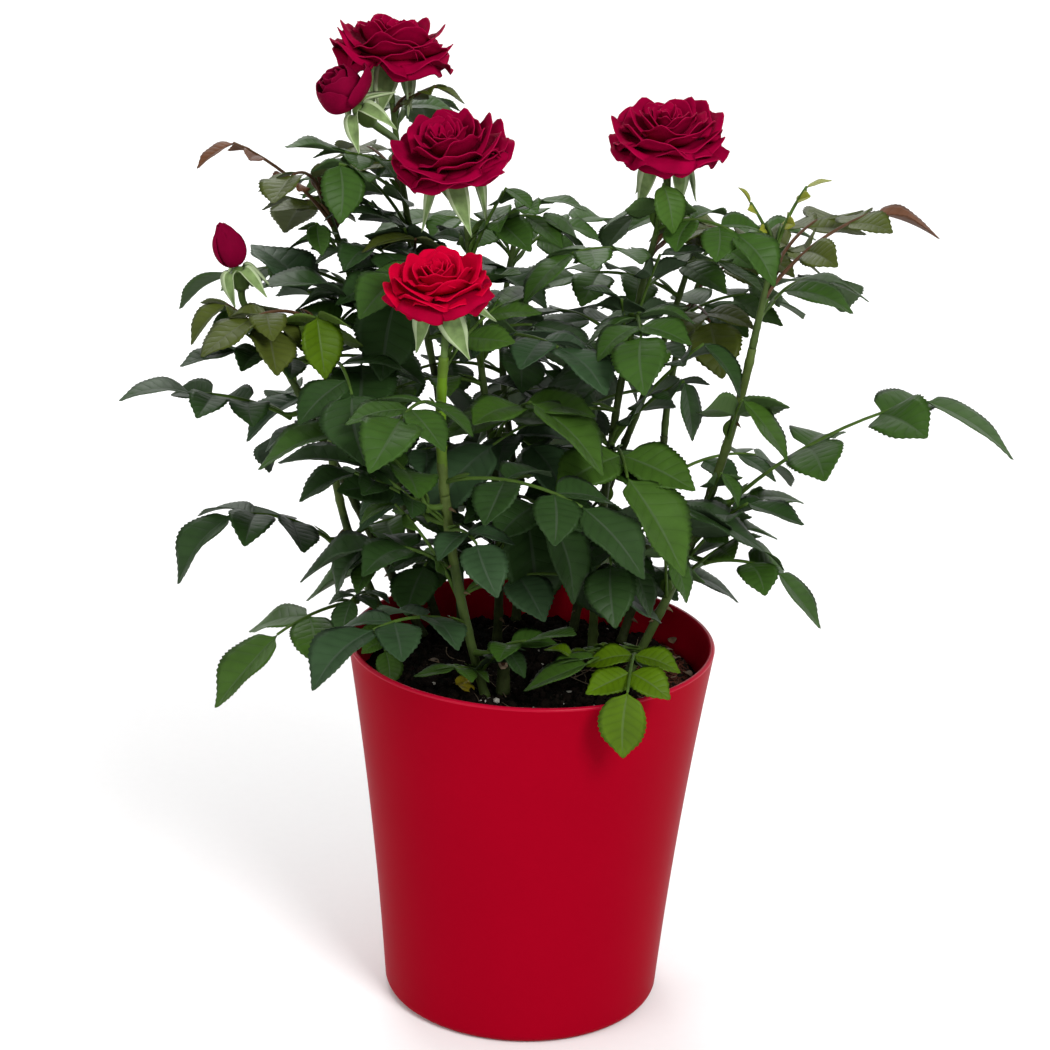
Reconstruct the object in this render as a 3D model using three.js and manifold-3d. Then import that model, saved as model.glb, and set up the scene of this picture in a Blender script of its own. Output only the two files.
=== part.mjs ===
// A patio rose in its pot: a flared pot filled with compost, canes that rise from the compost,
// leafy shoots and side sprays on the canes, and open blooms and buds at the shoots' tips.
// Millimetres, +Z up, front towards -Y, origin at the middle of the pot's flat underside.
// Bearings are degrees seen from above: 0 is +X (right), 90 is +Y (back), 270 is -Y (front).

import * as THREE from "three";
import { mergeVertices } from "three/addons/utils/BufferGeometryUtils.js";
import Module from "manifold-3d";

const wasm = await Module();
wasm.setup();

// ---- Driving dimensions ----

const POT = { height: 140, rim: 67.5, foot: 51.5, flare: 0.35, wall: 2.2, floor: 3, corner: 4, sides: 36 };
const LEVELS = [40, 75, 108]; // heights at which the pot's curved wall is stepped
const SOIL = { top: 126, edge: 124, bank: 8 }; // level, level at the wall, width of the bank there
const GAP = 0.3; // clearance between solids that touch on the real plant
const CANE = { foot: 2.2, tip: 1.5, flare: 1.3, flareHeight: 7, sides: 7, steps: 6 };
const SHOOT = { foot: 1.4, tip: 1, sides: 4, steps: 4 };
const SPUR = { length: 6, foot: 1.3, tip: 0.9, sides: 4, steps: 1, seat: 0.8 };
const RACHIS = { foot: 0.9, tip: 0.6, seat: 0.04 }; // seat: half the share that a side leaflet takes
const LEAFLET = { width: 0.62, thickness: 0.9, fold: 0.22, curl: 0.1, wide: 0.42 };
const LATERAL = { size: 0.75, swing: [56, 78], droop: 0.2 };
const PAIRS = { 1: [0.6], 2: [0.8, 0.45] }; // where the side leaflets stand along the rachis
const ROOM = 1.15; // length of rachis for each length of end leaflet that a second pair needs
const SEED = 7919;
const PHYLLOTAXIS = 144; // a rose's leaves stand two fifths of a turn apart
const TURNS = [0, 16, -16, 32, -32]; // how far a leaf may turn to get clear of its neighbours
const YOUNG = { size: 24, length: 32, rise: 42, sag: 45 }; // leaf at the top of a shoot
const OLD = { size: 35, length: 52, rise: 20, sag: 50 }; // leaf at the foot of a shoot
const HANG = 12; // how far an end leaflet on a shoot hangs from its rachis
const SPREAD = { bearing: 14, rise: 10, sag: 12, length: 0.14, size: 0.1, hang: 10, twist: 16 };
const CLIMB = [0.1, 0.9]; // shares of a shoot where its first and last leaves stand
const PEDICEL = { radius: 1.5, sides: 6 };
const HIP = { radius: 3.4, length: 8 };
const SEPAL = { length: 15, width: 5, thickness: 1.2, wide: 0.3, droop: 2, first: 20, seat: -1 };
const SEPALS_OPEN = { bloom: 125, halfOpen: 70, closed: 40 }; // degrees from the flower's axis

// ---- The plant ----

// Canes: where each stands on the compost, where it ends, and how far its middle bows aside.
const CANES = {
  front: { foot: [-16, -25], tip: [-32, -36, 206], bow: [-2, 3] },
  left: { foot: [-50, 23], tip: [-74, -2, 232], bow: [-9, 8] },
  bud: { foot: [-41, 33], tip: [-86, 10, 226], bow: [-2, 8] },
  centre: { foot: [-13, 30], tip: [-18, 14, 216], bow: [2, 2] },
  top: { foot: [-27, 44], tip: [-40, 40, 232], bow: [2, 2] },
  tall: { foot: [-36, 46], tip: [-62, 43, 228], bow: [-2, 4] },
  middle: { foot: [23, 20], tip: [27, 13, 216], bow: [-1, 2] },
  right: { foot: [36, 2], tip: [74, -6, 254], bow: [5, 0] },
  behind: { foot: [16, 42], tip: [34, 45, 206], bow: [-2, 3] },
  rear: { foot: [-6, 52], tip: [-12, 68, 204], bow: [2, 0] },
  flank: { foot: [34, 32], tip: [48, 56, 202], bow: [3, 3] },
};

// The stub of an old cane, cut short.
const STUB = { foot: [-10, -21], height: 14, radius: 2.6, taper: 0.2 };

// Shoots: each goes on from its cane's tip to its own tip, and its leaves climb it in a spiral
// that starts at the first bearing.
const SHOOTS = {
  front: { tip: [-33, -46, 258], leaves: 4, first: 335 },
  left: { tip: [-80, -14, 262], leaves: 4, first: 150 },
  bud: { tip: [-104, -4, 262], leaves: 4, first: 210 },
  centre: { tip: [-28, 1, 296], leaves: 6, first: 20 },
  top: { tip: [-56, 31, 330], leaves: 7, first: 300 },
  tall: { tip: [-84, 34, 302], leaves: 6, first: 250 },
  middle: { tip: [41, 3, 302], leaves: 7, first: 190 },
  right: { tip: [80, -6, 290], leaves: 5, first: 300 },
  behind: { tip: [58, 42, 292], leaves: 7, first: 340 },
  rear: { tip: [-10, 84, 276], leaves: 7, first: 60 },
  flank: { tip: [60, 70, 262], leaves: 6, first: 20 },
};

// Reaching leaves, which give the plant its outline. Each is listed as the share of the cane or
// shoot that it stands at, then its bearing, rise, sag and length, the size of its end leaflet,
// and how far that hangs and veers from the rachis.
const SPRAYS = {
  far_left: { cane: "bud", leaf: [0.95, 206, 32, 26, 40, 26, 4, -10] },
  left_droop: { cane: "left", leaf: [0.42, 213, 43, 40, 46, 32, 46, -6] },
  left_low: { cane: "left", leaf: [0.2, 222, 8, 30, 38, 35, 16, -10] },
  front_left: { cane: "front", leaf: [0.95, 212, 66, 34, 44, 36, 46, -18] },
  left_dark: { cane: "front", leaf: [0.86, 163, 50, 30, 30, 31, 14, 16] },
  centre_big: { cane: "centre", leaf: [0.95, 272, 49, 30, 54, 36, 52, 50] },
  centre_low: { cane: "centre", leaf: [0.7, 292, 30, 36, 44, 34, 55, 30] },
  right_big: { cane: "middle", leaf: [0.95, 275, 28, 44, 46, 40, 28, 48] },
  right_long: { cane: "right", leaf: [0.55, 350, 49, 30, 82, 38, 44, 2] },
  right_low: { cane: "right", leaf: [0.46, 316, 62, 30, 24, 22, 38, 20] },
  right_droop: { cane: "right", leaf: [0.38, 342, 21, 40, 28, 26, 24, 2] },
  over_rim: { cane: "right", leaf: [0.06, 265, 38, 50, 68, 24, 66, -10] },
  low_front: { cane: "front", leaf: [0.22, 313, 40, 20, 24, 23, -6, 10] },
  low_left: { cane: "left", leaf: [0.1, 274, 23, 30, 42, 14, 48, 12] },
};

const SHOOT_LEAVES = [
  { shoot: "tall", leaf: [0.75, 211, 55, 30, 52, 16, 52, -8] },
  { shoot: "top", leaf: [0.5, 236, 58, 40, 54, 22, 72, 40] },
  { shoot: "top", leaf: [0.3, 234, 10, 10, 40, 34, -16, -30] },
  { shoot: "right", leaf: [0.5, 10, 59, 40, 50, 25, 34, -10] },
  { shoot: "right", leaf: [0.95, 2, 78, 20, 26, 9, 36, 0] },
  { shoot: "left", leaf: [0.5, 261, 57, 20, 26, 22, 100, 36] },
  { shoot: "left", leaf: [0.3, 186, 26, 20, 36, 21, 12, 0] },
  { shoot: "bud", leaf: [0.1, 217, 53, 20, 42, 17, 60, -14] },
];

// Blooms: the shoot each stands on, where its hip ends, the bearing and amount of its lean, and
// its radius.
const BLOOMS = {
  top: { shoot: "top", hip: [-56.5, 30.5, 344.5], bearing: 20, lean: 4, radius: 22.5 },
  second: { shoot: "centre", hip: [-32.5, -3, 314.5], bearing: 232, lean: 22, radius: 22.5 },
  right: { shoot: "middle", hip: [41, 2.5, 320.5], bearing: 265, lean: 22, radius: 22 },
  front: { shoot: "front", hip: [-34.5, -47, 279], bearing: 245, lean: 34, radius: 18.5 },
};

// Buds: the shoot each stands on and the share of its length, then as a bloom. The first is
// half open.
const BUDS = {
  half_open: { shoot: "top", at: 0.84, hip: [-67.2, 7.4, 332], bearing: 205, lean: 46, radius: 8.5 },
  closed: { shoot: "bud", at: 1, hip: [-107, -7, 277], bearing: 196, lean: 20, radius: 5.8 },
};

// Petal rings of a flower, from the outside in: how far each reaches, how high its rim stands and
// how high it leaves the heart, all as shares of the flower's radius.
const HALF_OPEN = [
  { reach: 1, rim: 1.5, foot: -0.1 },
  { reach: 0.66, rim: 1.85, foot: 0.3 },
];
const OPEN = [
  { reach: 1, rim: -0.1, foot: -0.06 },
  { reach: 0.94, rim: 0.24, foot: 0.1 },
  { reach: 0.74, rim: 0.5, foot: 0.24 },
  { reach: 0.46, rim: 0.7, foot: 0.4 },
];
const CLOSED = [[0, 0.5], [0.2, 0.9], [0.45, 1], [0.8, 0.5], [1, 0.1]]; // share of height, of radius
const CLOSED_BUD = { height: 16, seat: -1, sides: 8 };
const RING = {
  petals: 5,
  scallop: [1, 0.84, 1],
  waist: 0.62,
  inner: 0.54,
  bulge: 0.07,
  thickness: 0.08,
  heart: 0.26,
};

// ---- Small geometry helpers ----

const UP = new THREE.Vector3(0, 0, 1);
const rad = THREE.MathUtils.degToRad;
const mix = THREE.MathUtils.lerp;
const vec = (p) => new THREE.Vector3(...p);

function direction(bearing, rise) {
  const flat = Math.cos(rad(rise));
  return vec([flat * Math.cos(rad(bearing)), flat * Math.sin(rad(bearing)), Math.sin(rad(rise))]);
}

// A point moved along some directions, each by its own distance.
function moved(point, ...steps) {
  return steps.reduce((sum, [way, distance]) => sum.addScaledVector(way, distance), point.clone());
}

// A repeatable stream of numbers from 0 to 1.
function seeded(seed) {
  let state = seed;
  return () => {
    state = (state * 1664525 + 1013904223) % 4294967296;
    return state / 4294967296;
  };
}

// A closed mesh of points and faces as a solid.
function solid(points, faces) {
  const geometry = new THREE.BufferGeometry().setFromPoints(points);
  geometry.setIndex(faces.flat());
  return solidOf(geometry);
}

function solidOf(geometry) {
  const bare = geometry.clone();
  bare.deleteAttribute("normal");
  bare.deleteAttribute("uv");
  const merged = mergeVertices(bare, 1e-4);
  return new wasm.Manifold(
    new wasm.Mesh({
      numProp: 3,
      vertProperties: new Float32Array(merged.attributes.position.array),
      triVerts: new Uint32Array(merged.index.array),
    }),
  );
}

function geometryOf(manifold) {
  const mesh = manifold.getMesh();
  return new THREE.BufferGeometry()
    .setAttribute("position", new THREE.BufferAttribute(mesh.vertProperties.slice(), 3))
    .setIndex(new THREE.BufferAttribute(mesh.triVerts.slice(), 1))
    .toNonIndexed();
}

const joined = (solids) => solids.reduce((whole, next) => whole.add(next));

function touches(a, b) {
  const [p, q] = [a.boundingBox(), b.boundingBox()];
  const apart = [0, 1, 2].some((i) => p.min[i] > q.max[i] || q.min[i] > p.max[i]);
  return !apart && !a.intersect(b).isEmpty();
}

// ---- Limbs ----

// A tapering limb round a curve, closed at both ends. The stations are shares of the curve.
function limb(curve, stations, radiusAt, sides, firstTangent = curve.getTangent(0)) {
  const points = [];
  let side = vec([1, 0, 0]);
  stations.forEach((s, i) => {
    const tangent = i === 0 ? firstTangent : curve.getTangent(s);
    side = side.projectOnPlane(tangent).normalize();
    const across = tangent.clone().cross(side);
    const radius = radiusAt(s);
    for (let k = 0; k < sides; k++) {
      const turn = (2 * Math.PI * k) / sides;
      const offsets = [[side, radius * Math.cos(turn)], [across, radius * Math.sin(turn)]];
      points.push(moved(curve.getPoint(s), ...offsets));
    }
  });
  return solid(points, limbFaces(stations.length, sides));
}

function limbFaces(rings, sides) {
  const faces = [];
  for (let i = 0; i + 1 < rings; i++) {
    for (let k = 0; k < sides; k++) {
      const [a, b] = [i * sides + k, i * sides + ((k + 1) % sides)];
      faces.push([a, b, b + sides], [a, b + sides, a + sides]);
    }
  }
  const last = (rings - 1) * sides;
  for (let k = 1; k + 1 < sides; k++) {
    faces.push([0, k + 1, k], [last, last + k, last + k + 1]);
  }
  return faces;
}

const even = (steps) => Array.from({ length: steps + 1 }, (_, i) => i / steps);

// A curve that leaves a point at a bearing and rise, and sags evenly along its length.
class Sagging extends THREE.Curve {
  constructor(start, { bearing, rise, sag, length }) {
    super();
    Object.assign(this, { start, bearing, rise, sag, length });
  }

  elevation(s) {
    return this.rise - this.sag * s;
  }

  getTangent(s) {
    return direction(this.bearing, this.elevation(s));
  }

  getPoint(s) {
    const bend = this.length / rad(this.sag);
    const flat = bend * (Math.sin(rad(this.rise)) - Math.sin(rad(this.elevation(s))));
    const height = bend * (Math.cos(rad(this.elevation(s))) - Math.cos(rad(this.rise)));
    return moved(this.start, [direction(this.bearing, 0), flat], [UP, height]);
  }
}

// ---- Leaves ----

// The frame of a blade at a bearing and elevation, rolled about its length by the twist.
function bladeFrame(at, bearing, elevation, twist) {
  const ahead = direction(bearing, elevation);
  const side = direction(bearing + 90, 0).applyAxisAngle(ahead, rad(twist));
  return { at, ahead, side, up: ahead.clone().cross(side) };
}

// The points of a leaflet: its two widest places, its tip, and the middle of each face.
function leafletPoints({ at, ahead, side, up }, size) {
  const half = (LEAFLET.width * size) / 2;
  const lift = (s) => -LEAFLET.curl * size * s * s;
  const place = (s, across, over) => moved(at, [ahead, s * size], [side, across], [up, lift(s) + over]);
  const { wide, fold, thickness } = LEAFLET;
  return {
    left: place(wide, half, fold * half),
    right: place(wide, -half, fold * half),
    tip: place(1, 0, 0),
    top: place(wide, 0, thickness / 2),
    under: place(wide, 0, -thickness / 2),
  };
}

// The places of a leaf's side leaflets: a share of the rachis, and a hand (1 left, -1 right).
function sidePlaces({ length, size }) {
  const pairs = length > ROOM * size ? 2 : 1;
  return PAIRS[pairs].flatMap((share, pair) => [1, -1].map((hand) => ({ share, pair, hand })));
}

function sideFrame(curve, twist, { share, pair, hand }) {
  const { at, ahead, up } = bladeFrame(curve.getPoint(share), curve.bearing, curve.elevation(share), twist);
  const out = ahead.clone().applyAxisAngle(up, hand * rad(LATERAL.swing[pair]));
  const way = moved(out, [up, -LATERAL.droop]).normalize();
  const top = moved(up, [out, LATERAL.droop]).normalize();
  return { at, ahead: way, side: top.clone().cross(way), up: top };
}

const fan = (centre, loop) => loop.map((a, k) => [centre, a, loop[(k + 1) % loop.length]]);

// The faces of a leaflet that grows out of four corners on the rachis's side.
function sideFaces(points, [topNear, topFar, lowFar, lowNear], { left, right, tip, top, under }, hand) {
  const [near, far] = hand > 0 ? [left, right] : [right, left];
  const first = points.push(near, far, tip, top, under) - 5;
  const [n, f, t, c, d] = [0, 1, 2, 3, 4].map((k) => first + k);
  const upper = fan(c, [topNear, topFar, f, t, n]);
  const lower = fan(d, [lowNear, n, t, f, lowFar]);
  const faces = [...upper, ...lower, [topNear, n, lowNear], [topFar, lowFar, f]];
  return hand > 0 ? faces : faces.map((face) => face.toReversed());
}

// The faces of the leaflet that grows out of the rachis's end.
function endFaces(points, [ringTop, ringRight, ringLeft], { left, right, tip, top, under }) {
  const first = points.push(left, right, tip, top, under) - 5;
  const [l, r, t, c, d] = [0, 1, 2, 3, 4].map((k) => first + k);
  return [...fan(c, [ringTop, ringRight, r, t, l, ringLeft]), ...fan(d, [ringLeft, l, t, r, ringRight])];
}

// A compound leaf as one closed solid: a three-sided rachis with a leaflet grown out of its end
// and a leaflet grown out of its side at each place that is kept.
function leaf({ start, size, hang, veer, twist, ...arc }, kept) {
  const curve = new Sagging(start, arc);
  const shares = [...new Set(kept.map(({ share }) => share))].sort();
  const stations = [0, ...shares.flatMap((share) => [share - RACHIS.seat, share + RACHIS.seat]), 1];
  const points = stations.flatMap((s) => rachisRing(curve, s, twist));
  const faces = [[0, 2, 1]];
  for (let i = 0; i + 1 < stations.length; i++) {
    for (let k = 0; k < 3; k++) {
      const [a, b] = [3 * i + k, 3 * i + ((k + 1) % 3)];
      const corners = k === 0 ? [a, a + 3, b + 3, b] : [b, b + 3, a + 3, a];
      const hand = [-1, 0, 1][k];
      const place = kept.find((side) => side.hand === hand && side.share - RACHIS.seat === stations[i]);
      const shape = place && leafletPoints(sideFrame(curve, twist, place), size * LATERAL.size);
      faces.push(...(place ? sideFaces(points, corners, shape, hand) : [[a, b, b + 3], [a, b + 3, a + 3]]));
    }
  }
  const last = 3 * (stations.length - 1);
  const end = bladeFrame(curve.getPoint(1), curve.bearing + veer, curve.elevation(1) - hang, twist);
  faces.push(...endFaces(points, [last, last + 1, last + 2], leafletPoints(end, size)));
  return solid(points, faces);
}

// Three points round the rachis: on top, low on the right and low on the left.
function rachisRing(curve, s, twist) {
  const { at, side, up } = bladeFrame(curve.getPoint(s), curve.bearing, curve.elevation(s), twist);
  const radius = mix(RACHIS.foot, RACHIS.tip, s);
  return [90, -30, 210].map((turn) => {
    return moved(at, [side, -radius * Math.cos(rad(turn))], [up, radius * Math.sin(rad(turn))]);
  });
}

// ---- Pot and compost ----

// The pot's outer radius at a height: it widens faster towards the rim.
function potRadius(height) {
  const t = height / POT.height;
  return mix(POT.foot, POT.rim, (1 - POT.flare) * t + POT.flare * t * t);
}

const innerRadius = (height) => potRadius(height) - POT.wall;
const point2 = (radius, height) => new THREE.Vector2(radius, height);

// A closed profile turned round +Z.
function turned(profile) {
  return solidOf(new THREE.LatheGeometry(profile, POT.sides).rotateX(Math.PI / 2));
}

function pot() {
  const corner = [-90, -45, 0].map((turn) => {
    const inset = POT.corner * (1 - Math.cos(rad(turn)));
    return point2(potRadius(POT.corner) - inset, POT.corner * (1 + Math.sin(rad(turn))));
  });
  const outer = [...LEVELS, POT.height].map((height) => point2(potRadius(height), height));
  const inner = [POT.floor, ...LEVELS, POT.height].map((height) => point2(innerRadius(height), height));
  return turned([point2(0, 0), ...corner, ...outer, ...inner.toReversed(), point2(0, POT.floor)]);
}

function soil() {
  const foot = POT.floor + GAP;
  const wall = [foot, ...LEVELS, SOIL.edge].map((height) => point2(innerRadius(height) - GAP, height));
  const bank = point2(innerRadius(SOIL.edge) - SOIL.bank, SOIL.top);
  return turned([point2(0, foot), ...wall, bank, point2(0, SOIL.top)]);
}

// ---- Canes, shoots and spurs ----

const caneCurve = Object.fromEntries(
  Object.entries(CANES).map(([name, { foot, tip, bow }]) => {
    const [start, end] = [vec([...foot, SOIL.top + GAP]), vec(tip)];
    const control = moved(start.clone().lerp(end, 0.5), [vec([...bow, 0]), 2]);
    return [name, new THREE.QuadraticBezierCurve3(start, control, end)];
  }),
);

function caneRadius(s) {
  return mix(CANE.foot, CANE.tip, s) * (s === 0 ? CANE.flare : 1);
}

function cane(name) {
  const curve = caneCurve[name];
  const flare = CANE.flareHeight / curve.getLength();
  const stations = [0, ...even(CANE.steps).map((s) => mix(flare, 1, s))];
  return limb(curve, stations, caneRadius, CANE.sides, UP);
}

function stub() {
  const foot = vec([...STUB.foot, SOIL.top + GAP]);
  const curve = new THREE.LineCurve3(foot, moved(foot, [UP, STUB.height]));
  return limb(curve, even(1), (s) => STUB.radius * (1 - STUB.taper * s), CANE.sides, UP);
}

// A shoot goes on from its cane's tip in the cane's own direction and bends to its own tip.
const shootCurve = Object.fromEntries(
  Object.entries(SHOOTS).map(([name, { tip }]) => {
    const onward = caneCurve[name].getTangent(1);
    const start = moved(caneCurve[name].getPoint(1), [onward, GAP]);
    const end = vec(tip);
    const control = moved(start, [onward, start.distanceTo(end) / 2]);
    return [name, new THREE.QuadraticBezierCurve3(start, control, end)];
  }),
);

function shootStem(name) {
  const radiusAt = (s) => mix(SHOOT.foot, SHOOT.tip, s);
  return limb(shootCurve[name], even(SHOOT.steps), radiusAt, SHOOT.sides);
}

// A spur stands square on the side of its cane, towards the bearing of its leaf.
function spurCurve({ cane: name, leaf: [at, bearing] }) {
  const out = direction(bearing, 0).projectOnPlane(caneCurve[name].getTangent(at)).normalize();
  const start = moved(caneCurve[name].getPoint(at), [out, caneRadius(at) + GAP]);
  return new THREE.LineCurve3(start, moved(start, [out, SPUR.length]));
}

function spurStem(spray) {
  return limb(spurCurve(spray), even(SPUR.steps), (s) => mix(SPUR.foot, SPUR.tip, s), SPUR.sides);
}

function reachingLeaf(start, [, bearing, rise, sag, length, size, hang, veer]) {
  return { start, bearing, rise, sag, length, size, hang, veer, twist: 0 };
}

// The leaves of a shoot, from its foot up: each older one is larger and leans further out.
function shootLeaves(name, seed) {
  const random = seeded(seed);
  const spread = (key) => (random() * 2 - 1) * SPREAD[key];
  const { leaves, first } = SHOOTS[name];
  return Array.from({ length: leaves }, (_, i) => {
    const age = i / (leaves - 1);
    const aged = (key) => mix(OLD[key], YOUNG[key], age);
    return {
      start: shootCurve[name].getPoint(mix(...CLIMB, age)),
      bearing: first + PHYLLOTAXIS * i + spread("bearing"),
      rise: aged("rise") + spread("rise"),
      sag: aged("sag") + spread("sag"),
      length: aged("length") * (1 + spread("length")),
      size: aged("size") * (1 + spread("size")),
      hang: HANG + spread("hang"),
      veer: 0,
      twist: spread("twist"),
    };
  });
}

// ---- Blooms and buds ----

// The frame of a flower: the point where its hip ends, its axis, and two ways across it.
function flowerFrame({ hip, bearing, lean }) {
  const axis = direction(bearing, 90 - lean);
  const across = direction(bearing + 90, 0);
  return { at: vec(hip), axis, across, over: axis.clone().cross(across) };
}

function outward({ across, over }, turn) {
  return moved(new THREE.Vector3(), [across, Math.cos(rad(turn))], [over, Math.sin(rad(turn))]);
}

// The frame of a petal or sepal that opens from the axis by an angle, at a turn round it.
function petalFrame(frame, turn, open, height) {
  const out = outward(frame, turn);
  const ahead = moved(new THREE.Vector3(), [frame.axis, Math.cos(rad(open))], [out, Math.sin(rad(open))]);
  const up = moved(new THREE.Vector3(), [frame.axis, Math.sin(rad(open))], [out, -Math.cos(rad(open))]);
  return { at: moved(frame.at, [frame.axis, height]), ahead, side: up.clone().cross(ahead), up };
}

// The rows of an open flower from its underside to its heart, as radius and height. A petal ring
// goes out below its waist to the rim and comes back above it, further in.
function flowerRows(rings) {
  return rings.flatMap(({ reach, rim, foot }, ring) => {
    const waist = mix(foot, rim, RING.waist) - RING.bulge;
    return [
      { radius: RING.heart * reach, height: foot },
      { radius: RING.waist * reach, height: waist },
      { radius: reach, height: rim, scalloped: ring + 1 },
      { radius: RING.inner * reach, height: waist + RING.thickness },
    ];
  });
}

// An open flower as one closed surface of rows round the axis.
function flower(frame, radius, rings) {
  const columns = RING.petals * RING.scallop.length;
  const points = flowerRows(rings).flatMap((row) =>
    Array.from({ length: columns }, (_, k) => {
      const scallop = row.scalloped ? RING.scallop[(k + row.scalloped) % RING.scallop.length] : 1;
      const out = outward(frame, (360 * k) / columns);
      return moved(frame.at, [out, radius * row.radius * scallop], [frame.axis, radius * row.height]);
    }),
  );
  return solid(points, limbFaces(points.length / columns, columns));
}

// A narrow sepal in a frame, with a sharp edge all round.
function sepal({ at, ahead, side, up }) {
  const { length, width, thickness, wide, droop } = SEPAL;
  const place = (s, across, over) => moved(at, [ahead, s * length], [side, across], [up, over]);
  const ring = [place(0, 0, 0), place(wide, -width / 2, 0), place(1, 0, -droop), place(wide, width / 2, 0)];
  const middles = [place(wide, 0, thickness / 2), place(wide, 0, -thickness / 2)];
  return solid([...ring, ...middles], [...fan(4, [0, 1, 2, 3]), ...fan(5, [3, 2, 1, 0])]);
}

// Where a flower's stalk leaves its shoot: on from the tip, or square from the side.
function stalkStart({ shoot: name, at = 1, hip }) {
  const [curve, point] = [shootCurve[name], shootCurve[name].getPoint(at)];
  const tangent = curve.getTangent(at);
  if (at === 1) return { start: moved(point, [tangent, GAP]), onward: tangent, tangent };
  const onward = vec(hip).sub(point).projectOnPlane(tangent).normalize();
  return { start: moved(point, [onward, mix(SHOOT.foot, SHOOT.tip, at) + GAP]), onward, tangent };
}

// The stalk swells into the hip at its end.
function stalk(place, frame) {
  const { start, onward, tangent } = stalkStart(place);
  const reach = start.distanceTo(frame.at);
  const leaving = moved(start, [onward, PEDICEL.radius * 2], [tangent, reach * 0.2]);
  const controls = [leaving, moved(frame.at, [frame.axis, -reach * 0.5])];
  const curve = new THREE.CubicBezierCurve3(start, ...controls, frame.at);
  const swell = 1 - HIP.length / reach;
  const radii = new Map([
    [0, SHOOT.tip],
    [swell * 0.5, SHOOT.tip],
    [swell, PEDICEL.radius],
    [mix(swell, 1, 0.3), HIP.radius],
    [mix(swell, 1, 0.7), HIP.radius],
    [1, HIP.radius * 0.8],
  ]);
  return limb(curve, [...radii.keys()], (s) => radii.get(s), PEDICEL.sides, onward);
}

function sepals(frame, open) {
  return [0, 72, 144, 216, 288].map((turn) => {
    return sepal(petalFrame(frame, SEPAL.first + turn, open, SEPAL.seat));
  });
}

function bloom(place) {
  const frame = flowerFrame(place);
  const petals = flower(frame, place.radius, OPEN);
  return joined([stalk(place, frame), ...sepals(frame, SEPALS_OPEN.bloom), petals]);
}

function halfOpenBud(place) {
  const frame = flowerFrame(place);
  const petals = flower(frame, place.radius, HALF_OPEN);
  return joined([stalk(place, frame), ...sepals(frame, SEPALS_OPEN.halfOpen), petals]);
}

function closedBud(place) {
  const frame = flowerFrame(place);
  const { seat, height, sides } = CLOSED_BUD;
  const curve = new THREE.LineCurve3(
    moved(frame.at, [frame.axis, seat]),
    moved(frame.at, [frame.axis, height]),
  );
  const radii = new Map(CLOSED);
  const petals = limb(curve, [...radii.keys()], (s) => place.radius * radii.get(s), sides);
  return joined([stalk(place, frame), ...sepals(frame, SEPALS_OPEN.closed), petals]);
}

// ---- The whole plant ----

const COLOURS = {
  pot: { color: 0x9c0a22, roughness: 0.35, metalness: 0 },
  soil: { color: 0x17110e, roughness: 1, metalness: 0 },
  cane: { color: 0x5d7f35, roughness: 0.6, metalness: 0 },
  leaf: { color: 0x24411f, roughness: 0.5, metalness: 0 },
  petal: { color: 0x8c0512, roughness: 0.7, metalness: 0 },
};

const group = new THREE.Group();
const placed = [];

function add(name, colour, manifold) {
  placed.push(manifold);
  const mesh = new THREE.Mesh(geometryOf(manifold), new THREE.MeshStandardMaterial(COLOURS[colour]));
  mesh.name = name;
  group.add(mesh);
}

// A leaf's solids turned, if need be, to where they clear all that is placed. Side leaflets that
// clear nowhere are left out, and so is a leaf whose rachis or end leaflet does not.
function grown(place, others) {
  const fits = (piece) => !others.some((other) => touches(piece, other));
  const sides = sidePlaces(place);
  const tries = TURNS.map((turn) => ({ ...place, bearing: place.bearing + turn }))
    .filter((turned) => fits(leaf(turned, [])))
    .map((turned) => ({ turned, kept: sides.filter((side) => fits(leaf(turned, [side]))) }));
  const fullest = Math.max(...tries.map(({ kept }) => kept.length));
  const best = tries.find(({ kept }) => kept.length === fullest);
  return best ? [leaf(best.turned, best.kept)] : [];
}

add("pot", "pot", pot());
add("soil", "soil", soil());
add("stub", "cane", stub());
for (const name of Object.keys(CANES)) add(`cane_${name}`, "cane", cane(name));
for (const [name, place] of Object.entries(BLOOMS)) add(`bloom_${name}`, "petal", bloom(place));
add("bud_half_open", "petal", halfOpenBud(BUDS.half_open));
add("bud_closed", "petal", closedBud(BUDS.closed));

// Masses: every stem is placed before the first leaf, so that no leaf grows through a stem.
const sprays = Object.entries(SPRAYS).map(([name, spray]) => ({
  name: `spray_${name}`,
  stem: spurStem(spray),
  leaves: [reachingLeaf(spurCurve(spray).getPoint(SPUR.seat), spray.leaf)],
}));

const shoots = Object.keys(SHOOTS).map((name, i) => ({
  name: `shoot_${name}`,
  stem: shootStem(name),
  leaves: [
    ...SHOOT_LEAVES.filter(({ shoot }) => shoot === name).map(({ leaf: place }) =>
      reachingLeaf(shootCurve[name].getPoint(place[0]), place),
    ),
    ...shootLeaves(name, SEED * (i + 1)),
  ],
}));

const masses = [...sprays, ...shoots];
for (const mass of masses) {
  const stems = masses.filter((other) => other !== mass).map((other) => other.stem);
  const leaves = [];
  for (const place of mass.leaves) {
    leaves.push(...grown(place, [...placed, ...stems, ...leaves]));
  }
  add(mass.name, "leaf", joined([mass.stem, ...leaves]));
}

export default group;
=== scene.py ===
"""A miniature patio rose in its pot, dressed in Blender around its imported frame.

Shapes are worked out in the frame's own axes in millimetres (+Z up, front towards -Y, origin in
the middle of the pot's foot) and written to the meshes in metres.
"""

import itertools
import math
from collections import namedtuple

import bpy
import numpy as np
from mathutils import Matrix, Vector
from mathutils.bvhtree import BVHTree


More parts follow.
